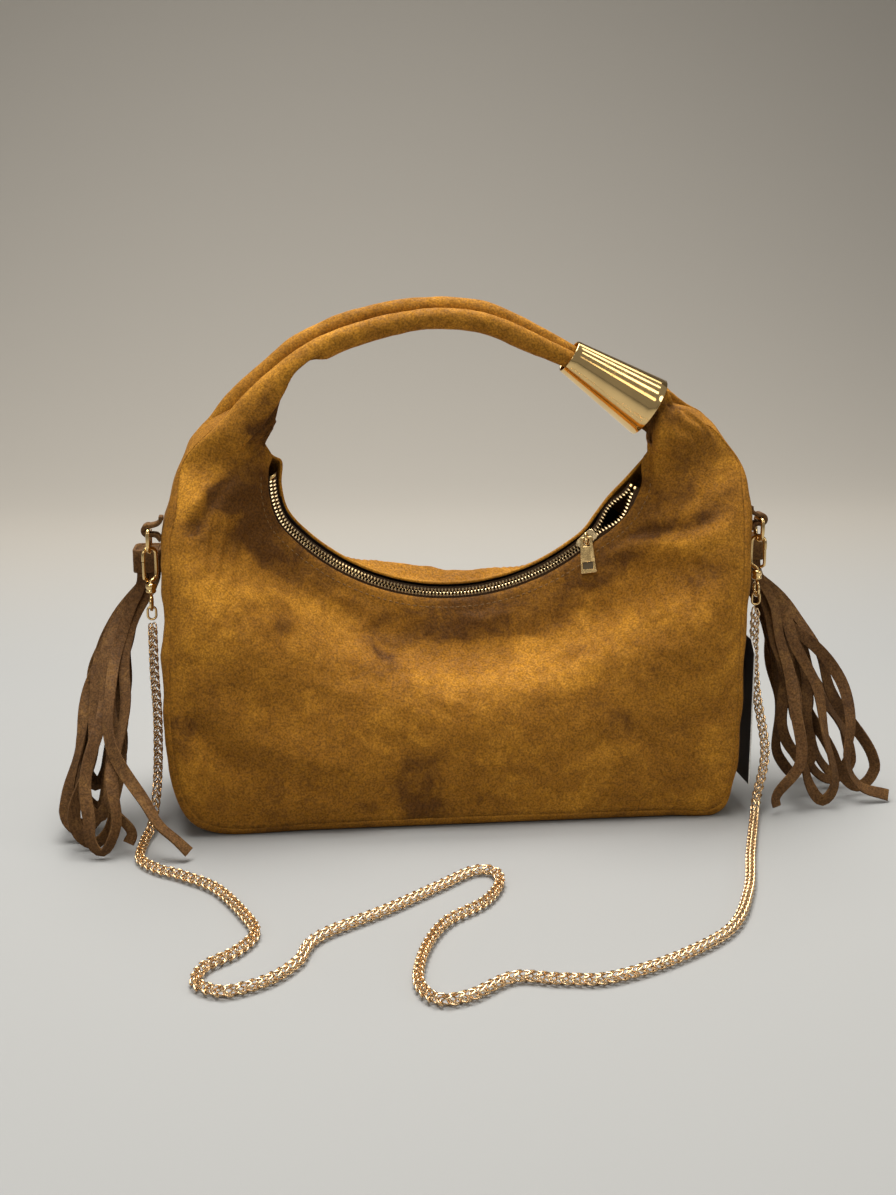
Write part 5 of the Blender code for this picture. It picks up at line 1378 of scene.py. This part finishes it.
def makePull(crown):
    # A tapered plate with a slot for the arch and a sunk dark panel near its foot: a grid of cells,
    # each with an upper and a lower face, and walls round the outside, the slot and the panel
    shape = sliderShape
    pivot = crown - 0.5 * shape["archWire"] - 0.5 * shape["bar"] - shape["pullClear"]
    half = 0.5 * shape["pullThick"]
    stations = np.array([-0.0006, 0.0006, 0.0052, 0.0120, 0.0152, 0.0196, shape["pullLength"]])
    halfWide = np.interp(stations, [0.0, shape["pullLength"]],
                         [0.5 * shape["pullTop"], 0.5 * shape["pullFoot"]])
    inner = np.array([0.0019, 0.0019, 0.0019, 0.0031, 0.0031, 0.0031, 0.0031])
    columns = np.stack([-halfWide, -inner, inner, halfWide], axis=1)
    points, faces, finish = [], [], []
    index = {}

    def corner(i, j, level):
        key = (i, j, level)
        if key not in index:
            index[key] = len(points)
            points.append((stations[i], columns[i, j], level))
        return index[key]

    def wall(a, b, low, high):
        faces.append([corner(*a, low), corner(*b, low), corner(*b, high), corner(*a, high)])
        finish.append(0)

    sunk = half - shape["pullSunk"]
    slot, panel = (1, 1), (4, 1)
    last = len(stations) - 1
    for i in range(last):
        for j in range(3):
            if (i, j) == slot:
                continue
            top = sunk if (i, j) == panel else half
            faces.append([corner(i, j, top), corner(i + 1, j, top),
                          corner(i + 1, j + 1, top), corner(i, j + 1, top)])
            faces.append([corner(i, j, -half), corner(i, j + 1, -half),
                          corner(i + 1, j + 1, -half), corner(i + 1, j, -half)])
            finish += [int(top == sunk), 0]
    for i in range(last):
        wall((i, 0), (i + 1, 0), -half, half)
        wall((i, 3), (i + 1, 3), half, -half)
    for j in range(3):
        wall((0, j + 1), (0, j), -half, half)
        wall((last, j), (last, j + 1), -half, half)
    slotRim, panelRim = [(1, 1), (1, 2), (2, 2), (2, 1)], [(4, 1), (5, 1), (5, 2), (4, 2)]
    for rim, low in ((slotRim, -half), (panelRim, sunk)):
        for a, b in zip(rim, rim[1:] + rim[:1]):
            wall(a, b, low, half)
    local = zipFrame(zipShape["slider"], np.array(points) @ hangSpin() + np.array([0.0, 0.0, pivot]))
    piece = putMesh("zipPull", local, faces, [gold, recessDark], faceFinish=finish)
    bevelled(piece, 0.00022, 2)
    dress(piece, "pull", "gold_metal", "zip_pull")


makeSlider()
makePull(makeArch())
print("stage: slider and pull")


# Rings, hooks, tabs, bands

hookShape = {
    "ringWidth": 0.014, "ringDrop": 0.013, "ringWire": 0.0026, "ringCorner": 0.0016,
    "tabWidth": 0.0090, "tabFace": {-1: -0.179906, 1: 0.168632}, "tabThick": 0.0024, "clear": 0.0003,
    "length": 0.021, "width": 0.0085, "wire": 0.0022, "nose": 0.0035, "shoulder": 0.0060,
    "gateFoot": 0.0030, "gateWire": 0.00185, "turn": math.radians(38),
    "block": 0.0060, "blockRadius": 0.0030, "swivelClear": 0.0003,
    "eye": 0.0085, "eyeWire": 0.0018, "link": 0.0090, "linkWire": 0.0014, "linkHalf": 0.0024,
}
hookTop = ringHeight - hookShape["ringDrop"] + 0.5 * (hookShape["ringWire"] + hookShape["wire"]) \
    + hookShape["clear"]
blockTop = hookTop - hookShape["length"]
eyeTop = blockTop - hookShape["block"] - hookShape["swivelClear"]


def hookSpot(side, wide, z):
    wide = np.asarray(wide, float)
    turn = hookShape["turn"]
    return np.stack([ringAxis[side] + side * wide * math.cos(turn),
                     ringY - wide * math.sin(turn), np.asarray(z, float)], axis=-1)


def hookSquare(side):
    return (side * math.sin(hookShape["turn"]), math.cos(hookShape["turn"]), 0.0)


def goldWire(label, side, path, wire, sides, flat, part, node, closed=False):
    # A bent wire of one side's fittings, dressed for that side's moving part and node
    word = sideWords[side]
    rings = tubeGrid(path, 0.5 * wire, sides, flat, closed)
    if closed:
        faces = gridFaces(len(rings), sides, wrapColumns=True, wrapRows=True)
    else:
        faces = cappedFaces(len(rings), sides)
    piece = putMesh(label + word.capitalize(), rings, faces, [gold])
    dress(piece, f"{word}_{part}", "gold_metal", f"{node}_{word}")


def makeRing(side):
    # A D of wire: a straight bar with tight bends at both ends, and a half round below
    half = 0.5 * hookShape["ringWidth"]
    low = hookShape["ringDrop"] - half
    bar = half - hookShape["ringCorner"]
    bend = (half - 0.2 * hookShape["ringCorner"], -0.55 * hookShape["ringCorner"])
    turn = np.radians(np.linspace(0.0, 180.0, 9))
    route = [(-bar, 0.0), (0.0, 0.0), (bar, 0.0), bend]
    route += list(zip(half * np.cos(turn), -low - half * np.sin(turn)))
    route += [(-bend[0], bend[1]), (-bar, 0.0)]
    flat = evenly(catmullRom(route, 8), 73)[:-1]
    path = np.stack([np.full(len(flat), ringAxis[side]), ringY + flat[:, 0], ringHeight + flat[:, 1]], axis=1)
    goldWire("ring", side, path, hookShape["ringWire"], 14, (1.0, 0.0, 0.0), "ring", "ring", closed=True)


def turnedProfile(axisPoint, profile, around=40):
    # A profile of height and radius turned about an upright axis
    turn = np.arange(around) * tau / around
    radial = np.stack([np.cos(turn), np.sin(turn), 0 * turn], axis=1)
    points = (np.asarray(axisPoint) + profile[:, 0][None, :, None] * floorUp
              + profile[:, 1][None, :, None] * radial[:, None])
    return points, gridFaces(around, len(profile), wrapRows=True)


def makeHook(side):
    # The bow: a stem out of the block, a shoulder to one side, a half round and the nose
    half, low = 0.5 * hookShape["width"], blockTop
    turn = np.radians(np.linspace(180.0, 0.0, 9))
    route = [(0.0, low - 0.5 * hookShape["block"]), (0.0, low + 0.1 * hookShape["shoulder"]),
             (-half * 0.75, low + 0.47 * hookShape["shoulder"]), (-half, low + hookShape["shoulder"])]
    route += list(zip(half * np.cos(turn), hookTop - half + half * np.sin(turn)))
    route.append((half, hookTop - half - hookShape["nose"]))
    flat = evenly(catmullRom(route, 8), 72)
    path = hookSpot(side, flat[:, 0], flat[:, 1])
    goldWire("hook", side, path, hookShape["wire"], 14, hookSquare(side), "ring", "hook")


def makeBlock(side):
    # The swivel block: a small turned barrel with a groove round its middle
    profile = np.array([(0.0, 0.0), (0.0, 0.62), (0.05, 0.86), (0.12, 1.0), (0.50, 1.0), (0.56, 0.86),
                        (0.62, 0.86), (0.68, 1.0), (0.84, 0.98), (0.94, 0.84), (1.0, 0.62), (1.0, 0.0)])
    profile = profile * np.array([-hookShape["block"], hookShape["blockRadius"]])
    points, faces = turnedProfile((ringAxis[side], ringY, blockTop), profile[::-1])
    word = sideWords[side]
    block = putMesh(f"swivelBlock{word.capitalize()}", points, faces[:, ::-1], [gold])
    dress(block, f"{word}_ring", "gold_metal")


def makeGate(side):
    # The gate runs from its foot in the shoulder up to the nose
    half, wire, rise = 0.5 * hookShape["width"], hookShape["wire"], hookShape["gateFoot"]
    nose = hookTop - half - hookShape["nose"]
    z = blockTop + rise
    foot = [(half - wire, z - 0.3 * rise), (half - 0.27 * wire, z), (half, z + 0.4 * rise),
            (half, nose - hookShape["clear"])]
    flat = evenly(catmullRom(foot, 8), 24)
    path = hookSpot(side, flat[:, 0], flat[:, 1])
    goldWire("gate", side, path, hookShape["gateWire"], 12, hookSquare(side), "gate", "gate")


def makeEye(side):
    # A plain round eye that turns under the block
    radius = 0.5 * hookShape["eye"]
    centre = eyeTop - 0.5 * hookShape["eyeWire"] - radius
    turn = np.arange(48) * tau / 48
    path = np.stack([np.full(48, ringAxis[side]), ringY + radius * np.cos(turn),
                     centre + radius * np.sin(turn)], axis=1)
    goldWire("swivelEye", side, path, hookShape["eyeWire"], 12, (1.0, 0.0, 0.0), "swivel", "swivel_eye",
             closed=True)


def makeLink(side):
    # A long link: two half rounds with straight sides between
    wide = hookShape["linkHalf"]
    top = eyeTop - hookShape["eye"] + 0.5 * hookShape["linkWire"] + hookShape["clear"]
    low = top - hookShape["link"] + hookShape["linkWire"]
    upper, lower = np.radians(np.linspace(0, 180, 16)), np.radians(np.linspace(180, 360, 16))
    x = np.concatenate([wide * np.cos(upper), wide * np.cos(lower)])
    z = np.concatenate([top - wide + wide * np.sin(upper), low + wide + wide * np.sin(lower)])
    path = np.stack([ringAxis[side] + x, np.full(len(x), ringY), z], axis=1)
    goldWire("endLink", side, path, hookShape["linkWire"], 10, (0.0, 1.0, 0.0), "swivel", "end_link",
             closed=True)


def stripMesh(name, line, across, width, thick, finish):
    # A strap: a line of points, given thickness in its own plane and width across it
    line = np.asarray(line, float)
    across = unit(np.asarray(across, float))
    ahead = unit(np.gradient(line, axis=0))
    normal = unit(np.cross(np.broadcast_to(across, ahead.shape), ahead))
    edge = np.array([(-1, -0.5), (-0.9, -1), (0.9, -1), (1, -0.5), (1, 0.5), (0.9, 1), (-0.9, 1), (-1, 0.5)])
    rings = (line[:, None] + edge[None, :, :1] * 0.5 * width * across
             + edge[None, :, 1:] * 0.5 * thick * normal[:, None])
    return putMesh(name, rings, cappedFaces(len(line), len(edge)), [finish])


def makeTab(side):
    # A strip folded round the ring's bar, both ends flat on the side of the bag
    word = sideWords[side]
    face = hookShape["tabFace"][side]
    axis = ringAxis[side]
    wrap = 0.5 * hookShape["ringWire"] + hookShape["clear"] + 0.5 * hookShape["tabThick"]
    turn = np.radians(np.linspace(115.0, -115.0, 15))
    loop = [(axis + side * wrap * math.cos(a), ringHeight + wrap * math.sin(a)) for a in turn]
    start = [(face - side * 0.0008, 0.1800), (face - side * 0.0004, 0.1774), (face + side * 0.0018, 0.1755)]
    stop = [(face + side * 0.0020, 0.1690), (face - side * 0.0004, 0.1660)]
    flat = evenly(catmullRom(start + loop + stop, 6), 60)
    line = np.stack([flat[:, 0], np.full(len(flat), ringY), flat[:, 1]], axis=1)
    tab = stripMesh(f"ringTab{word.capitalize()}", line, bagBack, hookShape["tabWidth"] - 0.0004,
                    hookShape["tabThick"], brownSuede)
    dress(tab, "bag", "brown_suede", f"ring_tab_{word}")


def makeBand(side):
    # A rounded sleeve: its section is a soft rectangle, turned in at the top and bottom hems
    word = sideWords[side]
    shape = fringeShape
    x = shape["bandX"][side]
    a, b = 0.5 * shape["bandDepth"], 0.5 * shape["bandWidth"]
    wall, half = shape["bandWall"], 0.5 * shape["bandHeight"]
    around, power = 72, 0.28
    turn = np.arange(around) * tau / around
    cx = np.sign(np.cos(turn)) * np.abs(np.cos(turn))**power
    cy = np.sign(np.sin(turn)) * np.abs(np.sin(turn))**power
    # inset from the outside, height
    profile = [(0.0, -half + 0.0006), (0.00035, -half + 0.0002), (0.0009, -half), (0.0016, -half + 0.0004),
               (wall, -half + 0.002), (wall, half - 0.002), (0.0016, half - 0.0004), (0.0009, half),
               (0.00035, half - 0.0002), (0.0, half - 0.0006), (-0.0002, 0.5 * half), (-0.0003, 0.0),
               (-0.0002, -0.5 * half)]
    rings = [np.stack([x + (a - max(inset, 0.0)) * cx, shape["bandY"] + (b - inset) * cy,
                       np.full(around, shape["bandZ"] + z)], axis=1) for inset, z in profile]
    faces = gridFaces(len(profile), around, wrapColumns=True, wrapRows=True)[:, ::-1]
    band = putMesh(f"fringeBand{word.capitalize()}", np.stack(rings), faces, [brownSuede])
    dress(band, "bag", "brown_suede", f"fringe_band_{word}")


def makeTag():
    # Black card with cut top corners and a pale cut edge
    low, high = (np.array(corner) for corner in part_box("swing_tag"))
    cut = tagShape["cut"]
    y0, y1, z0, z1 = low[1], high[1], low[2], high[2]
    outline = [(y0, z0), (y1, z0), (y1, z1 - cut), (y1 - cut, z1), (y0 + cut, z1), (y0, z1 - cut)]
    points, faces = plateMesh(outline, low[0], high[0])
    finish = [1] * len(outline) + [0, 0]
    tag = putMesh("swingTag", points[:, [2, 0, 1]], faces, [tagBlack, tagCore], faceFinish=finish,
                  smooth=False)
    dress(tag, "bag", "black_card", "swing_tag")


for side in (-1, 1):
    makeTab(side)
    makeRing(side)
    makeHook(side)
    makeBlock(side)
    makeGate(side)
    makeEye(side)
    makeLink(side)
    makeBand(side)
makeTag()
print("stage: hardware, bands and tag")


# Stage and light

studio = {
    "floor": (0.335, 0.340, 0.340, 1.0), "wall": (0.43, 0.405, 0.365, 1.0),
    "world": (0.92, 0.89, 0.84), "worldLevel": 0.26, "aim": (0.0, -0.02, 0.12),
    # the sweep in metres: its front edge, where it bends, the bend's radius, its top and half width
    "front": -4.0, "bendAt": 1.2, "bend": 1.4, "top": 5.0, "halfWide": 6.0,
    "lamps": [
        # name, place, size, power, colour
        ("overhead", (-0.14, 0.06, 1.45), 1.0, 23.0, (1.0, 0.975, 0.93)),
        ("frontLeft", (-1.00, -1.25, 0.95), 0.7, 3.8, (1.0, 0.96, 0.90)),
        ("frontRight", (1.30, -0.90, 0.80), 0.6, 2.6, (1.0, 0.98, 0.95)),
        ("wallWash", (0.0, 1.0, 2.3), 1.4, 38.0, (1.0, 0.97, 0.92)),
        # small lamps that draw bright bands along the cone
        ("bandHigh", (0.63, 0.52, 1.17), 0.36, 0.9, (1.0, 0.93, 0.78)),
        ("bandMiddle", (0.71, -0.02, 1.28), 0.24, 0.5, (1.0, 0.95, 0.82)),
        ("bandLow", (0.62, -0.55, 1.12), 0.20, 0.35, (1.0, 0.93, 0.78)),
        ("bandFront", (0.42, -1.00, 0.78), 0.22, 0.30, (1.0, 0.86, 0.62)),
    ],
}


def makeStage():
    # Floor and backdrop in one sheet: flat, then a quarter circle, then upright
    bendAt, bend = studio["bendAt"], studio["bend"]
    flat = [(y, 0.0) for y in np.linspace(studio["front"], bendAt, 14)]
    turn = np.radians(np.linspace(6, 90, 15))
    curve = [(bendAt + bend * math.sin(a), bend - bend * math.cos(a)) for a in turn]
    rise = [(bendAt + bend, z) for z in np.linspace(bend + 0.2, studio["top"], 6)]
    profile = np.array(flat + curve + rise)
    x = np.linspace(-studio["halfWide"], studio["halfWide"], 9)
    points = np.stack([np.repeat(x[None], len(profile), axis=0),
                       np.repeat(profile[:, :1], len(x), axis=1),
                       np.repeat(profile[:, 1:], len(x), axis=1)], axis=-1)
    made, tree, shader, place = newMaterial("paleStage", studio["floor"][:3])
    parts = addNode(tree, "ShaderNodeSeparateXYZ", {0: place})
    climb = stretched(tree, parts.outputs[1], 0.25, 1.1)
    tree.links.new(mixedColour(tree, climb, studio["floor"], studio["wall"]), shader.inputs["Base Color"])
    shader.inputs["Roughness"].default_value = 0.8
    sheet = putMesh("studioSweep", points, gridFaces(len(profile), len(x))[:, ::-1], [made])


def makeLights():
    world = bpy.data.worlds.new("studioWorld")
    bpy.context.scene.world = world
    world.use_nodes = True
    back = world.node_tree.nodes["Background"]
    back.inputs["Color"].default_value = (*studio["world"], 1.0)
    back.inputs["Strength"].default_value = studio["worldLevel"]
    for name, place, size, power, colour in studio["lamps"]:
        data = bpy.data.lights.new(name, "AREA")
        data.shape = "DISK"
        data.size = size
        data.energy = power
        data.color = colour
        lamp = bpy.data.objects.new(name, data)
        lamp.location = place
        aim = np.array(studio["aim"]) - np.array(place)
        lamp.rotation_euler = Vector(aim).to_track_quat("-Z", "Y").to_euler()
        bpy.context.scene.collection.objects.link(lamp)


makeStage()
makeLights()
